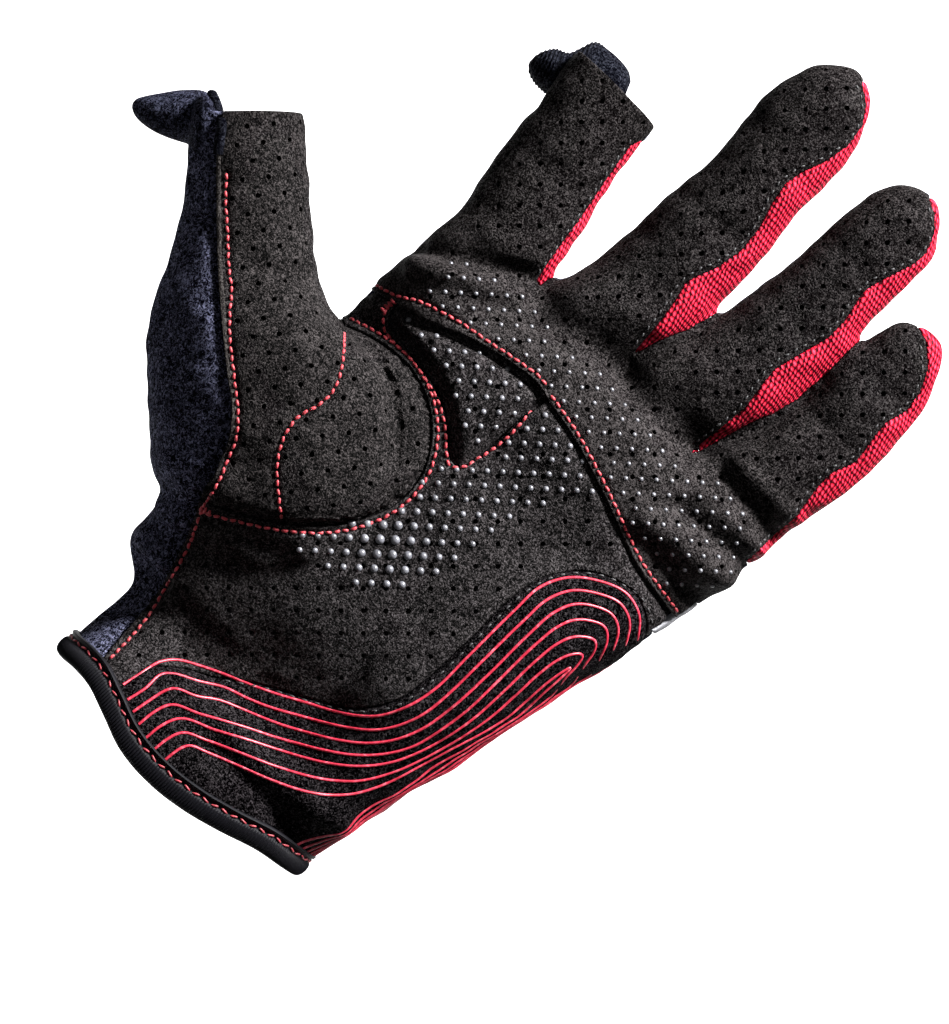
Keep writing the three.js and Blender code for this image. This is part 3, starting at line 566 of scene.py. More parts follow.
def added(name, data):
    """An object with this data, in the scene."""
    obj = bpy.data.objects.new(name, data)
    bpy.context.scene.collection.objects.link(obj)
    return obj


def evaluated_mesh(obj):
    """The object's mesh with its modifiers applied."""
    graph = bpy.context.evaluated_depsgraph_get()
    return bpy.data.meshes.new_from_object(obj.evaluated_get(graph), depsgraph=graph)


def settle(obj):
    """Apply the object's modifiers and take them off."""
    mesh = evaluated_mesh(obj)
    obj.modifiers.clear()
    obj.data = mesh


def fused(parts, voxel):
    """One outer skin over overlapping closed forms."""
    obj = added("fuse", mesh_of("fuse", *merged(parts), scale=1))
    remesh = obj.modifiers.new("remesh", "REMESH")
    remesh.mode = "VOXEL"
    remesh.voxel_size = voxel
    verts, tris = arrays_of(evaluated_mesh(obj))
    bpy.data.objects.remove(obj)
    return verts, tris


def neighbours(tris):
    edges = np.sort(np.vstack([tris[:, [0, 1]], tris[:, [1, 2]], tris[:, [2, 0]]]), axis=1)
    return np.unique(edges, axis=0)


def relaxed(verts, edges, times, strength):
    """Vertices smoothed without shrinking the form; strength is one number or one each."""
    a, b = edges.T
    degree = np.bincount(edges.ravel(), minlength=len(verts))[:, None]
    for number in range(2 * times):
        total = np.stack([
            np.bincount(a, verts[b, axis], len(verts)) + np.bincount(b, verts[a, axis], len(verts))
            for axis in range(3)
        ], axis=1)
        verts = verts + strength * (total / degree - verts) * (1 if number % 2 == 0 else -1.02)
    return verts


def normals_of(verts, tris):
    face = np.cross(verts[tris[:, 1]] - verts[tris[:, 0]], verts[tris[:, 2]] - verts[tris[:, 0]])
    normal = np.stack([
        sum(np.bincount(tris[:, corner], face[:, axis], len(verts)) for corner in range(3))
        for axis in range(3)
    ], axis=1)
    return normal / np.maximum(np.linalg.norm(normal, axis=1), 1e-9)[:, None]


# Distances to seams and cuts along them


def segment_gaps(start, end, px, pz):
    """Least distance from each point to a set of segments."""
    way = end - start
    length = np.maximum((way**2).sum(1), 1e-12)
    part = ((px - start[:, 0]) * way[:, 0] + (pz - start[:, 1]) * way[:, 1]) / length
    part = np.clip(part, 0, 1)
    off_x, off_z = px - start[:, 0] - part * way[:, 0], pz - start[:, 1] - part * way[:, 1]
    return np.sqrt((off_x**2 + off_z**2).min(1))


def close_points(shape, x, z, reach):
    low, high = shape.min(0) - reach, shape.max(0) + reach
    near = np.flatnonzero((x > low[0]) & (x < high[0]) & (z > low[1]) & (z < high[1]))
    return np.array_split(near, max(1, len(near) // 6000))


def signed_distance(shape, x, z, reach=30.0):
    """Distance from each point to a closed outline, less than 0 inside."""
    start = np.asarray(shape, float)
    end = np.roll(start, -1, axis=0)
    value = np.full(len(x), reach)
    rise = np.where(end[:, 1] == start[:, 1], 1e-12, end[:, 1] - start[:, 1])
    for chunk in close_points(start, x, z, reach):
        px, pz = x[chunk, None], z[chunk, None]
        crosses = (start[:, 1] > pz) != (end[:, 1] > pz)
        at = start[:, 0] + (pz - start[:, 1]) * (end[:, 0] - start[:, 0]) / rise
        inside = (crosses & (px < at)).sum(1) % 2 == 1
        value[chunk] = np.where(inside, -1, 1) * segment_gaps(start, end, px, pz)
    return value


def curve_distance(points, x, z, reach=8.0):
    """Distance from each point to an open curve."""
    curve = spline(points, 1.0)
    value = np.full(len(x), reach)
    for chunk in close_points(curve, x, z, reach):
        value[chunk] = segment_gaps(curve[:-1], curve[1:], x[chunk, None], z[chunk, None])
    return value


def split(columns, tris, value, level):
    """The mesh with new vertices wherever its edges cross value == level."""
    above = value > level
    count = above[tris].sum(1)
    mixed = (count == 1) | (count == 2)
    cut = tris[mixed]
    flags = above[cut]
    alone = np.where((flags.sum(1) == 1)[:, None], flags, ~flags).argmax(1)
    rows = np.arange(len(cut))
    one, two, three = (cut[rows, (alone + i) % 3] for i in range(3))
    pairs = np.sort(np.vstack([np.stack([one, two], 1), np.stack([one, three], 1)]), axis=1)
    pairs, where = np.unique(pairs, axis=0, return_inverse=True)
    where = where.ravel() + len(columns)
    low, high = value[pairs[:, 0]], value[pairs[:, 1]]
    part = ((level - low) / (high - low))[:, None]
    fresh = columns[pairs[:, 0]] * (1 - part) + columns[pairs[:, 1]] * part
    p, q = where[: len(cut)], where[len(cut):]
    corners = [[one, p, q], [p, two, three], [p, three, q]]
    made = [tris[~mixed], *(np.stack(corner, 1) for corner in corners)]
    return np.vstack([columns, fresh]), np.vstack(made), np.append(value, np.full(len(pairs), level))


def kept(columns, tris, value, level):
    """The part of the mesh where value is at most level."""
    columns, tris, value = split(columns, tris, value, level)
    tris = tris[(value[tris] <= level + 1e-9).all(1)]
    used, tris = np.unique(tris, return_inverse=True)
    return columns[used], tris.reshape(-1, 3), value[used]


def walled(outer, inner, tris):
    """Closed solid between two surfaces with the same triangles."""
    edges = np.vstack([tris[:, [0, 1]], tris[:, [1, 2]], tris[:, [2, 0]]])
    keys = np.sort(edges, axis=1)
    _, first, times = np.unique(keys, axis=0, return_index=True, return_counts=True)
    a, b = edges[first[times == 1]].T
    count = len(outer)
    walls = np.vstack([np.stack([b, a, a + count], 1), np.stack([b, a + count, b + count], 1)])
    return np.vstack([outer, inner]), np.vstack([tris, tris[:, ::-1] + count, walls])


# Pieces


def place(name, verts, tris, material, slot, nodes=(), sharp=50):
    """A finished piece that rides on the glove."""
    obj = added(name, mesh_of(name, verts, tris))
    finish_piece(obj, material, slot, nodes, sharp)
    return obj


def finish_piece(obj, material, slot, nodes=(), sharp=50):
    mesh = obj.data
    mesh.materials.clear()
    mesh.materials.append(material)
    mesh.polygons.foreach_set("use_smooth", np.ones(len(mesh.polygons), bool))
    mesh.set_sharp_from_angle(angle=math.radians(sharp))
    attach(obj, "root")
    if nodes:
        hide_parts(*nodes)


def panel(field, height, crease, rim=0.45, thick=CLOTH):
    """Outer surface, inner surface and triangles of the skin where field is below 0.

    height is how far the cloth's face stands off the skin, crease the distance to a stitched line.
    """
    columns = np.hstack([SKIN, height[:, None], crease[:, None]])
    columns, tris, value = kept(columns, SKIN_TRIS, field, -SEAM_GAP)
    for part in (0.15, 0.5, 1.0):
        columns, tris, value = split(columns, tris, value, -SEAM_GAP - rim * part)
    for level in (0.35, 0.8, 1.4):
        joined = np.hstack([columns, value[:, None]])
        joined, tris, _ = split(joined, tris, columns[:, 7], level)
        columns, value = joined[:, :-1], joined[:, -1]
    inward = -SEAM_GAP - value
    round_off = 1 - np.sqrt(1 - np.clip(1 - inward / rim, 0, 1) ** 2)
    points, normal = columns[:, :3], columns[:, 3:6]
    normal = normal / np.linalg.norm(normal, axis=1)[:, None]
    face = columns[:, 6] - 0.45 * np.exp(-((columns[:, 7] / 0.8) ** 2)) - rim * round_off
    return points + normal * face[:, None], points - normal * thick, tris


def cut_away(obj, parts):
    """Take closed forms out of a piece."""
    for part in parts:
        cutter = added("cutter", mesh_of("cutter", *part))
        cut = obj.modifiers.new("cut", "BOOLEAN")
        cut.operation, cut.solver, cut.object = "DIFFERENCE", "MANIFOLD", cutter
        settle(obj)
        bpy.data.objects.remove(cutter)


def round_form(point, normal, levels, sides):
    """Closed round form that stands on a surface; its levels are radius and height."""
    upright = np.array(Vector(normal).to_track_quat("Z", "Y").to_matrix())
    turn = np.arange(sides) * 2 * math.pi / sides
    rings = np.stack([
        np.stack([np.cos(turn) * radius, np.sin(turn) * radius, np.full(sides, height)], 1)
        for radius, height in levels
    ])
    return skin_rings(rings @ upright.T + point)


def pierced(obj, hits, sides=9):
    """Small round holes cut through a piece at points with their normals."""
    levels = [(HOLE_RADIUS * 0.8, -HOLE_DEPTH), (HOLE_RADIUS * 0.85, 0), (HOLE_RADIUS * 1.35, 0.35)]
    cut_away(obj, [merged([round_form(point, normal, levels, sides) for point, normal in hits])])


def thinned(obj, most):
    """Join the faces of a piece that matter least until about this many are left."""
    fewer = obj.modifiers.new("fewer", "DECIMATE")
    fewer.ratio = min(1.0, most / len(obj.data.polygons))
    settle(obj)


class Surface:
    """Finds points on the finished panels."""

    def __init__(self, parts):
        verts, tris = merged(parts)
        self.tree = BVHTree.FromPolygons(verts.tolist(), tris.tolist())

    def hit(self, origin, way):
        point, normal, _, _ = self.tree.ray_cast(Vector(origin), Vector(way))
        return None if point is None else (np.array(point), np.array(normal))

    def front(self, x, z):
        return self.hit((x, -120, z), (0, 1, 0))

    def side(self, y, z):
        return self.hit((120, y, z), (-1, 0, 0))


def draped(surface, points, step, times=4):
    """Points and normals on the palm side over a curve seen from the palm, in one array."""
    hits = [surface.front(x, z) for x, z in spline(points, step)]
    return eased(np.array([np.hstack(h) for h in hits if h is not None]), times)


def eased(path, times):
    """The path with its points and normals evened out."""
    path = path.copy()
    for _ in range(times):
        path[1:-1] = (path[:-2] + 2 * path[1:-1] + path[2:]) / 4
    path[:, 3:] /= np.linalg.norm(path[:, 3:], axis=1)[:, None]
    return path


def evenly(points, step):
    """The same curve at equal steps."""
    reach = np.append(0, np.cumsum(np.linalg.norm(np.diff(points, axis=0), axis=1)))
    places = np.linspace(0, reach[-1], max(2, round(reach[-1] / step) + 1))
    return np.stack([np.interp(places, reach, points[:, axis]) for axis in range(points.shape[1])], 1)


def stitch_row(path, pitch, length, wide, sway=0.0):
    """Short raised threads along a path of points and normals; sway sets them alternately aslant."""
    both = evenly(path, pitch / 2)
    parts = []
    for number in range(1, len(both) - 1, 2):
        middle, up = both[number, :3], both[number, 3:]
        along = both[number + 1, :3] - both[number - 1, :3]
        along = along / max(np.linalg.norm(along), 1e-6)
        up = up / np.linalg.norm(up)
        lean = sway * (1 if number % 4 == 1 else -1)
        along = along * math.cos(lean) + np.cross(up, along) * math.sin(lean)
        parts.append(thread(middle, along, up, length, wide))
    return parts


def thread(middle, along, up, length, wide, rings=7, sides=8):
    """One stitch: a thread that comes out of the cloth, lies on it and goes back in."""
    side = np.cross(up, along)
    t = np.linspace(-1, 1, rings)
    turn = np.arange(sides) * 2 * math.pi / sides
    size = (wide / 2) * np.sqrt(np.clip(1 - np.abs(t) ** 3.2, 0.03, 1))
    rise = wide * (0.36 - 0.55 * t**4)
    centre = middle + np.outer(t * length / 2, along) + np.outer(rise, up)
    ring = np.outer(np.cos(turn), side) + np.outer(np.sin(turn), up) * 0.85
    return skin_rings(centre[:, None, :] + size[:, None, None] * ring[None, :, :])


def band(path, profile):
    """A strip with the given section along a path of points and normals."""
    points, normals = path[:, :3], path[:, 3:]
    way = np.gradient(points, axis=0)
    way /= np.linalg.norm(way, axis=1)[:, None]
    side = np.cross(normals, way)
    side /= np.linalg.norm(side, axis=1)[:, None]
    rings = np.stack([points + side * a + normals * b for a, b in profile], axis=1)
    return skin_rings(rings[:, ::-1])


def ribbon(path, wide, high):
    """A low printed line along a path of points and normals."""
    return band(path, np.array(PRINT_SECTION) * (wide, high))


def dot_radius(name, across, along):
    """Radius of a gel dot; the palm's are largest in the middle of its low end."""
    if name == "palm":
        return 0.62 + 0.36 * math.exp(-(((across + 3) / 12) ** 2) - ((along - 66) / 9) ** 2)
    return 0.6 if name == "pad" else 0.48


def dome(point, normal, radius, sides=12):
    """One raised dot of clear gel."""
    levels = [(radius * a, radius * 0.8 * b) for a, b in DOT_LEVELS]
    return round_form(point, normal, levels, sides)


def lattice(base, first, second, outline, inward=0.0):
    """Points of a slanting grid that lie inside an outline."""
    outline = np.asarray(outline, float)
    steps = np.stack([first, second])
    corners = np.array([(x, z) for x in (-130, 90) for z in (-20, 240)]) - base
    corners = corners @ np.linalg.inv(steps)
    low, high = np.floor(corners.min(0)), np.ceil(corners.max(0))
    counts = np.meshgrid(*(np.arange(a, b + 1) for a, b in zip(low, high)))
    spots = np.stack(counts, -1).reshape(-1, 2) @ steps + base
    return spots[signed_distance(outline, spots[:, 0], spots[:, 1], 3.0) < -inward]


def turned(points, middle, degrees):
    angle = math.radians(degrees)
    spin = np.array([[math.cos(angle), -math.sin(angle)], [math.sin(angle), math.cos(angle)]])
    return (points - middle) @ spin.T + middle


def pouch(rows, power, thick, sides=96, step=0.4, **placing):
    """Open shell through the rows, its mouth at the first one."""
    rows = spline(rows, step)
    start, long = rows[0, 0], rows[-1, 0] - rows[0, 0]
    lining = rows.copy()
    lining[:, 0] = start + (rows[:, 0] - start) * (long - thick) / long
    outer, tris = loft(rows, sides, power, step=1e9, **placing)
    placing.pop("swell", None)
    inner, _ = loft(lining, sides, power, step=1e9, inset=thick, **placing)
    tris = tris[(tris != len(outer) - 2).all(1)]
    used, tris = np.unique(tris, return_inverse=True)
    return walled(outer[used], inner[used], tris.reshape(-1, 3))


# Materials


class Look:
    """A node material: the base shader and short calls that add nodes to it."""

    def __init__(self, name, roughness=0.9, sheen=0.0, specular=0.3):
        self.material = bpy.data.materials.new(name)
        self.material.use_nodes = True
        self.tree = self.material.node_tree
        self.shader = self.tree.nodes["Principled BSDF"]
        self.shader.inputs["Roughness"].default_value = roughness
        self.shader.inputs["Specular IOR Level"].default_value = specular
        self.shader.inputs["Sheen Weight"].default_value = sheen
        self.shader.inputs["Sheen Roughness"].default_value = 0.6
        self.place = self.tree.nodes.new("ShaderNodeTexCoord").outputs["Object"]

    def put(self, socket, value):
        if isinstance(value, bpy.types.NodeSocket):
            self.tree.links.new(value, socket)
        elif value is not None:
            socket.default_value = value

    def math(self, operation, first, second=None):
        node = self.tree.nodes.new("ShaderNodeMath")
        node.operation = operation
        self.put(node.inputs[0], first)
        self.put(node.inputs[1], second)
        return node.outputs[0]

    def add(self, first, second):
        return self.math("ADD", first, second)

    def times(self, first, second):
        return self.math("MULTIPLY", first, second)

    def swayed(self, value, noise, share=0.1):
        """The value moved up and down by a share of a noise around its middle."""
        return self.add(value, self.times(self.math("SUBTRACT", noise, 0.5), share))

    def parts(self):
        node = self.tree.nodes.new("ShaderNodeSeparateXYZ")
        self.put(node.inputs[0], self.place)
        return node.outputs

    def noise(self, size_mm, detail=2.0, roughness=0.5, distortion=0.0):
        node = self.tree.nodes.new("ShaderNodeTexNoise")
        self.put(node.inputs["Vector"], self.place)
        node.inputs["Scale"].default_value = 1 / (size_mm * MM)
        node.inputs["Detail"].default_value = detail
        node.inputs["Roughness"].default_value = roughness
        node.inputs["Distortion"].default_value = distortion
        return node.outputs["Fac"]

    def ramp(self, value, stops):
        node = self.tree.nodes.new("ShaderNodeValToRGB")
        self.put(node.inputs[0], value)
        while len(node.color_ramp.elements) < len(stops):
            node.color_ramp.elements.new(0.5)
        for element, (where, colour) in zip(node.color_ramp.elements, stops):
            element.position, element.color = where, colour
        return node.outputs[0]

    def glint(self, value, low, high, shine):
        """Mirror light from 0 where value is low to shine where it is high."""
        stops = [(low, (0, 0, 0, 1)), (high, (shine, shine, shine, 1))]
        self.put(self.shader.inputs["Specular IOR Level"], self.ramp(value, stops))

    def bump(self, height, strength, distance_mm, under=None):
        node = self.tree.nodes.new("ShaderNodeBump")
        self.put(node.inputs["Height"], height)
        node.inputs["Strength"].default_value = strength
        node.inputs["Distance"].default_value = distance_mm * MM
        self.put(node.inputs["Normal"], under)
        return node.outputs[0]

    def done(self, colour, normal=None):
        self.put(self.shader.inputs["Base Color"], colour)
        self.put(self.shader.inputs["Normal"], normal)
        return self.material


def suede(name, dark, middle, light, shine=0.16, painted_root_light=0.0):
    """Napped microfibre: short lit speckle over a dark ground and a pebbly pile.

    Its last argument is painted light: it lightens the colour from the finger roots down.
    """
    look = Look(name, roughness=0.75)
    speckle = look.noise(0.38, detail=3, roughness=0.7)
    pebbles = look.noise(0.75, detail=2, roughness=0.6, distortion=1.2)
    patches = look.noise(4, detail=4, roughness=0.6)
    lit = look.swayed(look.add(look.times(speckle, 0.6), look.times(pebbles, 0.4)), patches)
    # Painted light: a lighter band on the cloth below the finger roots, fading out above 134 mm.
    if painted_root_light:
        top, fade = 0.134, 0.014
        low = look.math("DIVIDE", look.math("SUBTRACT", top, look.parts()[2]), fade)
        low = look.math("MINIMUM", look.math("MAXIMUM", low, 0.0), 1.0)
        lit = look.add(lit, look.times(low, painted_root_light))
    colour = look.ramp(lit, [(0.44, dark), (0.51, middle), (0.6, light)])
    look.glint(lit, 0.44, 0.66, shine)
    pile = look.bump(speckle, 0.7, 0.25)
    pile = look.bump(pebbles, 0.7, 0.6, pile)
    return look.done(colour, look.bump(look.noise(3.0, detail=3), 0.35, 0.8, pile))


def fleece(name, dark, light, shine=0.12):
    """Brushed knit: worm-like speckle of lit fibre ends over a dark ground."""
    look = Look(name, roughness=0.9)
    worms = look.noise(0.8, detail=4, roughness=0.75, distortion=1.5)
    clouds = look.noise(8, detail=4)
    lit = look.swayed(worms, clouds)
    colour = look.ramp(lit, [(0.4, dark), (0.48, dark), (0.64, light)])
    look.glint(lit, 0.48, 0.66, shine)
    normal = look.bump(worms, 1.0, 0.5)
    return look.done(colour, look.bump(look.noise(3.5, detail=3), 0.3, 0.8, normal))


def knit_mesh(name, pitch=1.45, course=1.2):
    """Fine warp knit: staggered slanting loops around small dark holes."""
    look = Look(name, roughness=0.65, specular=0.08)
    x, y, z = look.parts()
    girth = look.math("DIVIDE", look.add(x, y), pitch * MM)
    wobble = look.times(look.noise(3, detail=2), 1.1)
    rise = look.add(look.math("DIVIDE", z, course * MM), wobble)
    row = look.math("FLOOR", rise)
    shift = look.times(look.math("FLOORED_MODULO", row, 2.0), 0.5)
    across = look.math("FRACT", look.add(look.add(girth, shift), wobble))
    across = look.math("SUBTRACT", across, 0.5)
    along = look.math("SUBTRACT", look.math("FRACT", rise), 0.5)
    lean = look.add(across, look.times(along, 0.7))
    reach = look.add(look.times(lean, lean), look.times(look.times(along, along), 0.75))
    loop = look.math("SUBTRACT", 1.0, look.times(reach, 3.1))
    loop = look.times(look.math("MAXIMUM", loop, 0.0), 0.75)
    height = look.add(loop, look.times(look.noise(0.4, detail=3), 0.42))
    # The red is the yarn's own colour; it is painted darker down into the holes and hollows between the
    # loops, as painted shade, and lighter on the loop crowns, as painted light.
    colour = look.ramp(height, [
        (0.24, srgb(44, 0, 7)), (0.46, srgb(126, 3, 25)), (0.74, srgb(172, 14, 38)),
        (1.0, srgb(226, 68, 94)),
    ])
    return look.done(colour, look.bump(height, 0.8, 0.35))


def thread_look(name, dark, light):
    look = Look(name, roughness=0.5, sheen=0.1, specular=0.4)
    twist = look.noise(0.5, detail=2, roughness=0.6)
    colour = look.ramp(twist, [(0.3, dark), (0.7, light)])
    return look.done(colour, look.bump(twist, 0.5, 0.12))


def print_look(name):
    """Glossy raised ink."""
    look = Look(name, roughness=0.4, specular=0.5)
    wear = look.noise(1.0, detail=3)
    colour = look.ramp(wear, [
        (0.3, srgb(150, 22, 42)), (0.55, srgb(186, 44, 66)), (0.75, srgb(222, 104, 118)),
    ])
    return look.done(colour, look.bump(wear, 0.3, 0.08))


def elastic_look(name, dark, light):
    look = Look(name, roughness=0.6, specular=0.12)
    fibres = look.noise(0.4, detail=3, roughness=0.7)
    colour = look.ramp(fibres, [(0.3, dark), (0.7, light)])
    return look.done(colour, look.bump(fibres, 0.5, 0.2))


def gel_look(name):
    look = Look(name, roughness=0.3, specular=0.9)
    cloud = look.noise(1.6, detail=2)
    return look.done(look.ramp(cloud, [(0.3, srgb(66, 66, 70)), (0.7, srgb(108, 108, 114))]))


def stage_look(name, colour):
    look = Look(name, roughness=1.0, specular=0.0)
    return look.done(look.ramp(look.noise(400, detail=1), [(0.0, colour), (1.0, colour)]))


# The camera, the floor and the light


def make_camera():
    data = bpy.data.cameras.new("camera")
    camera = added("camera", data)
    data.sensor_width = SENSOR
    data.lens = SENSOR * CAMERA_FAR / (IMAGE_TALL * PIXEL)
    data.clip_end = 20
    roll = math.radians(CAMERA_ROLL)
    right = Vector((math.cos(roll), 0, math.sin(roll)))
    up = Vector((-math.sin(roll), 0, math.cos(roll)))
    turn = Matrix((right, up, right.cross(up))).transposed()
    spot = Vector(CAMERA_AIM) * MM - Vector((0, CAMERA_FAR * MM, 0))
    camera.matrix_world = Matrix.Translation(spot) @ turn.to_4x4()
    bpy.context.scene.camera = camera


def soft_light(name, towards, energy, size, aim=(0, 0, 0.1), spread=180):
    data = bpy.data.lights.new(name, "AREA")
    data.energy, data.size, data.spread = energy, size, math.radians(spread)
    lamp = added(name, data)
    lamp.location = Vector(aim) + Vector(towards)
    lamp.rotation_mode = "QUATERNION"
    lamp.rotation_quaternion = (-Vector(towards)).to_track_quat("-Z", "Y")


def make_stage():
    """A pale floor that curves up into a backdrop far behind."""
    floor, back, bend, wide = -2.0, 4.0, 1.0, 8.0
    turns = np.linspace(0, math.pi / 2, 13)
    arc = [(back - bend + bend * math.sin(a), floor + bend - bend * math.cos(a)) for a in turns]
    profile = np.array([(-4.0, floor), *arc, (back, 4.0)])
    left = np.stack([np.full(len(profile), -wide), profile[:, 0], profile[:, 1]], 1)
    count = len(profile)
    quads = [(i, i + 1, count + i + 1, count + i) for i in range(count - 1)]
    mesh = bpy.data.meshes.new("floor")
    mesh.from_pydata(np.vstack([left, left * (-1, 1, 1)]).tolist(), [], quads)
    mesh.polygons.foreach_set("use_smooth", [True] * len(quads))
    mesh.materials.append(stage_look("pale_floor", srgb(252, 252, 252)))
    added("floor", mesh)


def make_light():
    world = bpy.data.worlds.new("studio")
    bpy.context.scene.world = world
    world.use_nodes = True
    world.node_tree.nodes["Background"].inputs["Color"].default_value = (1, 1, 1, 1)
    world.node_tree.nodes["Background"].inputs["Strength"].default_value = 0.07
    soft_light("key", (0.22, -0.49, 1.18), 5.0, 0.32, spread=36)
    soft_light("fill", (-0.7, -1.2, 0.2), 1.6, 0.9)
    soft_light("backdrop", (0, -1.2, 0.6), 260, 2.5, (0, 2.6, 0.4))


# Build

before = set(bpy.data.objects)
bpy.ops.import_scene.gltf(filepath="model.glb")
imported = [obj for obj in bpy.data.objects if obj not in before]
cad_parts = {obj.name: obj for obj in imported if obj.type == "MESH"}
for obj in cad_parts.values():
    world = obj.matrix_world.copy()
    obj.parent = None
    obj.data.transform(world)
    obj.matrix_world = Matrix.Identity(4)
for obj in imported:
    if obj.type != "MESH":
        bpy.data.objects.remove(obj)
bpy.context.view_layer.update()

# Every face of the hand, fused and smoothed, then folded.
forms = [
    loft(PALM, 160, PALM_POWER),
    loft(HEEL, 96, THUMB_POWER),
    loft(THUMB, 96, THUMB_POWER, tilt=THUMB_TILT),
    *(loft(rows, 72, FINGER_POWER) for rows in (INDEX, MIDDLE, RING, LITTLE)),
]
skin, SKIN_TRIS = fused(forms, SKIN_VOXEL)
links = neighbours(SKIN_TRIS)
skin = relaxed(skin, links, 8, 0.6)
palm_share = (1 - smoothstep(skin[:, 2], 122, 136))[:, None]
skin = relaxed(skin, links, 60, 0.6 * palm_share)
parting = np.interp(skin[:, 2], *np.array(PARTING, float).T)
normal = normals_of(skin, SKIN_TRIS)
faces_palm = smoothstep(parting - skin[:, 1], -2, 5)
sink = np.zeros(len(skin))
for line, wide, deep in FOLDS:
    off = curve_distance(line, skin[:, 0], skin[:, 2], 3 * wide)
    sink += deep * np.exp(-((off / wide) ** 2))
for middle, (half_a, half_b), degrees, deep in DENTS:
    local = turned(skin[:, [0, 2]], np.array(middle), -degrees) - middle
    sink += deep * np.exp(-((local[:, 0] / half_a) ** 2) - (local[:, 1] / half_b) ** 2)
sink *= faces_palm
rng = np.random.default_rng(7)
for wave, size in WAVES:
    for way in rng.normal(size=(5, 3)):
        way *= 2 * math.pi / wave / np.linalg.norm(way)
        sink += size * np.sin(skin @ way + rng.uniform(0, 6.28)) * smoothstep(skin[:, 2], 8, 16)
skin = skin - normal * sink[:, None]
SKIN = np.hstack([skin, normals_of(skin, SKIN_TRIS)])
x, y, z = skin.T


# The wrist's rounded outline: middle and half size, across and deep.
_, *wrist = PALM[1]
WRIST_MIDDLE = (wrist[0] + wrist[1]) / 2, (wrist[2] + wrist[3]) / 2
WRIST_HALF = (wrist[1] - wrist[0]) / 2, (wrist[3] - wrist[2]) / 2


def wrist_turn(px, py):
    """Turn around the wrist's rounded outline, in degrees from 0 to 360."""
    a = (px - WRIST_MIDDLE[0]) / WRIST_HALF[0]
    b = (py - WRIST_MIDDLE[1]) / WRIST_HALF[1]
    power = PALM_POWER / 2
    turn = np.arctan2(np.sign(b) * np.abs(b) ** power, np.sign(a) * np.abs(a) ** power)
    return np.degrees(turn) % 360


def binding_height(turn):
    rows = spline(BINDING, 2.0)
    return np.interp(turn, rows[:, 0], rows[:, 1])


def outline(*pieces):
    """A closed outline from smooth stretches and single corner points."""
    return np.vstack([spline(p, 1.5) if len(p) > 2 else np.array(p, float) for p in pieces])


low_seam, high_seam = FLEECE_SEAM[:7], FLEECE_SEAM[6:]
outlines = {
    "thumb": outline(high_seam, [(-120, 140), (-60, 140)], [(-47, 94)], THENAR_EDGE[::-1][:-1]),
    "palm": outline(
        low_seam, THENAR_EDGE[1:], [(-46, 93.4)], CROSS_SEAM[1:-1], [(53, 98.5), (53, 92.4)],
        HEEL_EDGE[:-1][::-1],
    ),
    "heel": outline(HEEL_EDGE, [(80, -30)]),
    "finger": outline(CROSS_SEAM, [(80, 230), (-60, 230)], [(-60, 112)]),
    "suede": outline(FLEECE_SEAM, [(-110, 124), (-110, 230)], [(90, 230), (90, -30)]),
    "pad": spline(KNUCKLE_PAD, 1.2, closed=True),
    "trim": np.array(EDGE_TRIM, float),
}
inside = {name: signed_distance(shape, x, z) for name, shape in outlines.items()}
gusset_inside = {name: signed_distance(shape, x, z) for name, shape in GUSSETS.items()}

palm_side = y - parting
thumb_along = (z - x) * math.sqrt(0.5)
open_ends = np.maximum.reduce([
    np.where(x < -60, thumb_along - THUMB_CUT, -50),
    np.where((x < -18) & (x > -60) & (z > 140), z - INDEX_CUT, -50),
    binding_height(wrist_turn(x, y)) + BINDING_TALL / 2 - 1.0 - z,
])
gusset_back = palm_side - GUSSET_WRAP
gusset_fields = {name: np.maximum(d, gusset_back) for name, d in gusset_inside.items()}
any_gusset = np.minimum.reduce(list(gusset_fields.values()))
gusset_front = np.minimum.reduce(list(gusset_inside.values()))
trim_field = np.maximum(inside["trim"], gusset_back)


def region(*fields):
    return np.maximum.reduce([open_ends, *fields])


fields = {
    "palm": region(inside["palm"], palm_side, -inside["pad"], -trim_field),
    "finger": region(inside["finger"], palm_side, -gusset_front, -trim_field),
    "thumb": region(inside["thumb"], palm_side),
    "heel": region(inside["heel"], palm_side, -trim_field),
    "pad": region(inside["pad"], palm_side),
    "back": region(-np.maximum(inside["suede"], palm_side), -any_gusset, -trim_field),
    "trim": region(trim_field),
    **{name: region(field) for name, field in gusset_fields.items()},
}

# How far each cloth's face stands off the skin, and how it rises or dips towards its seams.
at_thenar = curve_distance(THENAR_EDGE, x, z, 60)
at_cross = np.abs(inside["finger"])
at_heel = np.abs(inside["heel"])
at_pad = -inside["pad"]
at_wrist = np.clip(z - binding_height(wrist_turn(x, y)) - BINDING_TALL / 2, 0, 30)
stitched = np.minimum.reduce([curve_distance(line, x, z) for line in STITCHES.values()])


def near(distance, wide):
    return np.exp(-((distance / wide) ** 2))


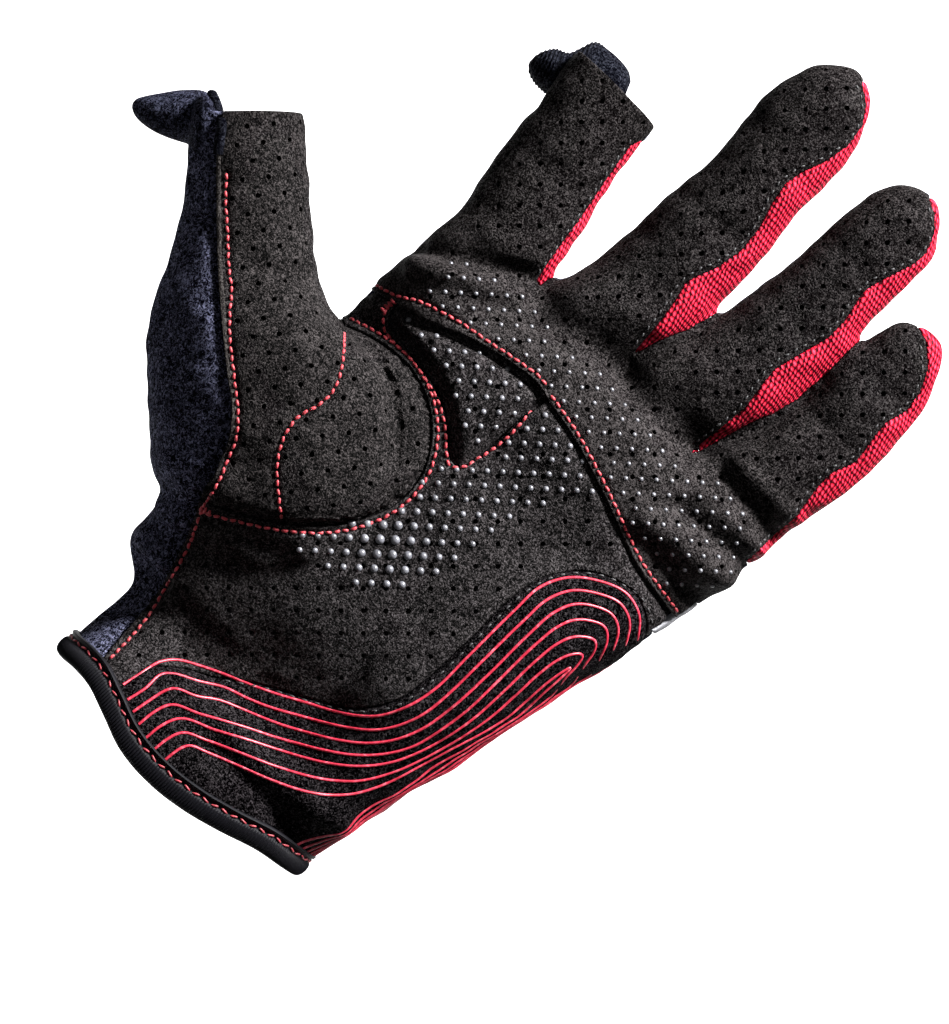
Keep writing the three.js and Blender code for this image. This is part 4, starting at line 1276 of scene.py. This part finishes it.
# The thenar pad swells where it faces the front, most about 3 mm inside its edge.
faces_front = np.clip(-1.15 * SKIN[:, 4], 0, 1) ** 2
thenar_swell = 2.7 * (1 - np.exp(-at_thenar / 1.5)) * near(np.maximum(at_thenar - 3, 0), 16)
thenar_swell = thenar_swell * faces_front
gusset_inward = {name: 1 - np.exp(np.minimum(field, 0) / 1.2) for name, field in gusset_fields.items()}
rise = {
    "palm": 0.2 - 0.9 * near(at_cross, 1.6) - 0.5 * near(at_heel, 2.0),
    "finger": 0.05 + 0.45 * near(at_cross, 4.0) - 0.3 * near(gusset_front, 1.5),
    "thumb": 0.1 - 0.6 * near(at_thenar, 1.6) + thenar_swell,
    "heel": 0.2 - 0.8 * near(at_heel, 1.0),
    "pad": -0.8 + 2.8 * smoothstep(at_pad, 0, 4.0) - 1.2 * near(at_cross, 8) - 0.7 * near(at_cross, 1.5),
    "back": -1.0 * near(inside["suede"], 1.5),
    "trim": np.full(len(x), 0.1),
    **{name: -0.4 + 0.5 * inward for name, inward in gusset_inward.items()},
}
for name, height in rise.items():
    height *= smoothstep(at_wrist, -2, 4) if name != "trim" else 1

black_suede = suede("black_suede", srgb(6, 6, 6), srgb(25, 23, 23), srgb(64, 60, 61), 0.14)
# The fingers' suede is a darker copy of the palm's suede, as painted shade; its last number paints light
# below the finger roots.
finger_suede_painted_shade = suede("finger_suede_painted_shade", srgb(5, 4, 4), srgb(17, 15, 15), srgb(53, 49, 49), 0.15, 0.03)
thumb_suede = suede("thumb_suede", srgb(6, 6, 6), srgb(22, 20, 20), srgb(57, 53, 53), 0.12)
raw_suede = suede("raw_suede", srgb(26, 24, 24), srgb(48, 45, 44), srgb(74, 70, 68), 0.1)
navy_fleece = fleece("navy_fleece", srgb(3, 3, 7), srgb(110, 112, 138))
cap_fleece = fleece("cap_fleece", srgb(5, 5, 9), srgb(70, 72, 92), 0.2)
cord_cloth = fleece("cord_cloth", srgb(3, 3, 6), srgb(38, 40, 50), 0.2)
heel_cloth = suede("heel_cloth", srgb(0, 0, 0), srgb(4, 3, 4), srgb(46, 42, 44), 0.08)
red_mesh = knit_mesh("red_mesh")
grey_knit = elastic_look("grey_knit", srgb(130, 130, 136), srgb(200, 200, 205))
band_look = elastic_look("band_elastic", srgb(1, 1, 3), srgb(16, 15, 20))
red_thread = thread_look("red_thread", srgb(104, 8, 18), srgb(194, 56, 68))
dark_red_thread = thread_look("dark_red_thread", srgb(84, 6, 16), srgb(166, 42, 56))
black_thread = thread_look("black_thread", srgb(8, 8, 8), srgb(48, 46, 48))
ink = print_look("red_ink")
gel = gel_look("clear_gel")

# Piece of cloth: its look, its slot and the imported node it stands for.
cloths = {
    "palm": (black_suede, "suede", "palm_panel"),
    "finger": (finger_suede_painted_shade, "suede", "finger_panel"),
    "thumb": (thumb_suede, "thumb_suede", "thumb_panel"),
    "heel": (heel_cloth, "suede", "heel_panel"),
    "pad": (black_suede, "suede", "knuckle_pad"),
    "back": (navy_fleece, "fleece", "back_panel"),
    "trim": (grey_knit, "grey_knit", "edge_trim"),
    **{name: (red_mesh, "mesh", f"{name}_gusset") for name in GUSSETS},
}
made, faces = {}, {}
for name, (look, slot, node) in cloths.items():
    outer, inner, tris = panel(fields[name], rise[name], stitched)
    faces[name] = (outer, tris)
    made[name] = place(f"{name}_cloth", *walled(outer, inner, tris), look, slot, [node])
surface = Surface([faces[name] for name in cloths if name != "back"])
thinned(made["back"], BACK_TRIANGLES)
finish_piece(made["back"], *cloths["back"][:2])

# Small round holes of the suede: grids of points, where they lie and how far inside.
palm_grid = (1.1, 75.4), (3.47, -3.45), (3.47, 3.45)
finger_roots = [
    (-44, 104), (0, 112), (54, 99), (60, 129), (36, 135), (9, 137), (-18, 133), (-44, 117),
]
index_area = [(-60, 118), (-18, 134), (-18, 180), (-60, 180)]
middle_area = [(-17.9, 134), (9, 138), (16, 145), (16, 216), (-17.9, 216)]
ring_area = [(9.1, 138), (36, 136), (38, 145), (38, 210), (16.1, 210), (16.1, 145)]
little_area = [(36.1, 136), (60, 130), (62, 190), (38.1, 190), (38.1, 145)]
front_holes = {
    "palm": [lattice(*palm_grid, outlines["palm"], 2.2)],
    "pad": [lattice(*palm_grid, outlines["pad"], 2.0)],
    "thumb": [lattice((-81.7, 103.5), (4.9, 0), (1.3, -4.5), outlines["thumb"], 2.4)],
    "finger": [
        lattice((-40.4, 163.5), (3.2, 3.2), (-3.2, 3.2), index_area),
        lattice((-1.5, 168), (3.1, 3.3), (-3.1, 3.1), middle_area),
        lattice((25.4, 185.5), (3.2, 3.3), (-3.2, 3.3), ring_area),
        lattice((48.2, 155.2), (3.2, 3.3), (-3.2, 3.3), little_area),
        lattice(*palm_grid, finger_roots),
    ],
}
for name, groups in front_holes.items():
    spots = np.vstack(groups)
    clear = signed_distance(outlines[name], spots[:, 0], spots[:, 1]) < -HOLE_TO_SEAM
    for shape in [*GUSSETS.values(), *([outlines["pad"]] if name == "palm" else [])]:
        clear &= signed_distance(shape, spots[:, 0], spots[:, 1]) > HOLE_TO_GUSSET
    own = Surface([faces[name]])
    hits = [own.front(*spot) for spot in spots[clear]]
    pierced(made[name], [hit for hit in hits if hit is not None and hit[1][1] < -0.3])
    finish_piece(made[name], *cloths[name][:2])

# Red seams.
threads = []
for line in STITCHES.values():
    threads += stitch_row(draped(surface, line, 0.5), RED_PITCH, RED_LENGTH, RED_WIDE, RED_SWAY)
for cx, cz, way in BAR_TACKS:
    for step in np.linspace(-1.5, 1.5, 4):
        found = surface.front(cx + step * math.cos(way), cz + step * math.sin(way))
        if found is None:
            continue
        spot, up = found
        side = np.cross(up, (math.cos(way), 0, math.sin(way)))
        threads.append(thread(spot, side / np.linalg.norm(side), up, 1.9, RED_WIDE))
place("seam_stitches", *merged(threads), red_thread, "suede")

# Black stitches along the gussets and the heel's edge.
black = []
for line in EDGE_STITCHES.values():
    black += stitch_row(draped(surface, line, 0.5, 2), 2.2, 1.2, 0.42, 0.2)
rim_line = np.array(HEEL_EDGE[1:-1], float)
rim_line[:, 0] += 1.3
black += stitch_row(draped(surface, rim_line[3:], 0.5), 2.9, 1.4, 0.4)
place("edge_stitches", *merged(black), black_thread, "suede")

# The raw edge of the thumb's suede along the fleece.
raw = np.array(FLEECE_SEAM[9:-1], float) + (0.45, 0.45)
place("raw_edge", *ribbon(evenly(draped(surface, raw, 0.5), 0.7), 1.05, 0.16), raw_suede, "suede")

# The heel's printed lines, each with its way back down the side of the hand.
lines = []
for number, line in enumerate(HEEL_LINES):
    front = draped(surface, line, PRINT_STEP, 0)
    depth = PRINT_BACK - PRINT_PITCH * number
    leg = [surface.side(depth, height) for height in np.arange(line[-1][1] - 5, 3, -PRINT_STEP)]
    path = np.vstack([front, [np.hstack(hit) for hit in leg if hit is not None]])
    lines.append(ribbon(eased(evenly(path, PRINT_STEP), 3), PRINT_WIDE, PRINT_HIGH))
place("heel_lines", *merged(lines), ink, "suede")

# Gel dots.
dots = []
for name, area in DOT_AREAS.items():
    own = Surface([faces[name]])
    for across, along in lattice((0, 77), (4.3, -0.45), (1.8, -2.7), area):
        hit = own.front(across, along)
        if hit is not None and hit[1][1] <= -0.25:
            dots.append(dome(*hit, dot_radius(name, across, along)))
place("gel_dots", *merged(dots), gel, "suede")

# The binding around the wrist, its roll ribbed at every other step.
turn = np.linspace(0, 360, 1441)
angle = np.radians(turn)
loop = np.stack([
    WRIST_MIDDLE[0] + WRIST_HALF[0] * rounded(np.cos(angle), PALM_POWER),
    WRIST_MIDDLE[1] + WRIST_HALF[1] * rounded(np.sin(angle), PALM_POWER),
    binding_height(turn),
], 1)
loop = evenly(loop, 0.17)
loop = loop[: (len(loop) - 1) // 4 * 4]
way = np.roll(loop, -1, axis=0) - np.roll(loop, 1, axis=0)
outward = np.stack([way[:, 1], -way[:, 0], np.zeros(len(way))], 1)
outward /= np.linalg.norm(outward, axis=1)[:, None]
section = spline(BINDING_SECTION, 0.45, closed=True)
ribs = np.array([0, 0.19, 0, -0.19])[np.arange(len(loop)) % 4]
rolled = smoothstep(section[:, 0], 0, 0.8) * (1 - smoothstep(section[:, 1], 0.6, 1.2))
out = section[None, :, 0] + ribs[:, None] * rolled[None, :]
ring = loop[:, None, :] + outward[:, None, :] * out[:, :, None]
ring[:, :, 2] += section[None, :, 1]
place("binding_band", *skin_rings(ring, wrap_ends=True), band_look, "elastic", ["wrist_binding"])
channel = np.hstack([loop + outward * CHANNEL_OUT + (0, 0, CHANNEL_UP), outward])
place("binding_stitches", *merged(stitch_row(channel, 2.4, 2.0, 0.5, 0.3)), dark_red_thread, "elastic")

# The two folded-back fingertips.
thumb_cap = fused([
    loft(THUMB_CAP, 96, CAP_POWER, tilt=CAP_TILT, root=THUMB_CAP_ROOT, step=0.4),
    loft(THUMB_FOLD, 96, CAP_POWER, tilt=THUMB_TILT, step=0.4),
], 0.5)
thumb_cap = relaxed(thumb_cap[0], neighbours(thumb_cap[1]), 22, 0.6), thumb_cap[1]
thumb_tip = place("thumb_tip", *thumb_cap, cap_fleece, "fleece", ["thumb_cap"])
lining = [(r[0] * 0.93, *r[1:]) for r in THUMB_CAP]
cut_away(thumb_tip, [
    loft(lining, 64, CAP_POWER, tilt=CAP_TILT, root=THUMB_CAP_ROOT, inset=1.2),
    loft([*THUMB[9:], (156, 3.4, 23.6, -16.0, 2.5)], 96, THUMB_POWER, tilt=THUMB_TILT, inset=1.0),
])
finish_piece(thumb_tip, cap_fleece, "fleece")
index_cap = pouch(
    INDEX_CAP, CAP_POWER, 1.2, tilt=CAP_TILT, root=INDEX_CAP_ROOT, step=0.2,
    swell=lambda along: 0.15 * np.sin(along * 7.8) * smoothstep(along, 4, 8),
)
place("index_tip", *index_cap, cord_cloth, "fleece", ["index_cap"])

# Hems that run from each cap down the side of its finger.
caps = Surface([thumb_cap, index_cap, faces["back"], faces["thumb"], faces["finger"]])
hems = [band(draped(caps, line, 0.4, 12), np.array(HEM_SECTION) * share) for share, line in HEMS]
place("cap_hems", *merged(hems), cord_cloth, "fleece")

make_camera()
make_stage()
make_light()
bpy.context.scene.view_settings.view_transform = "Standard"
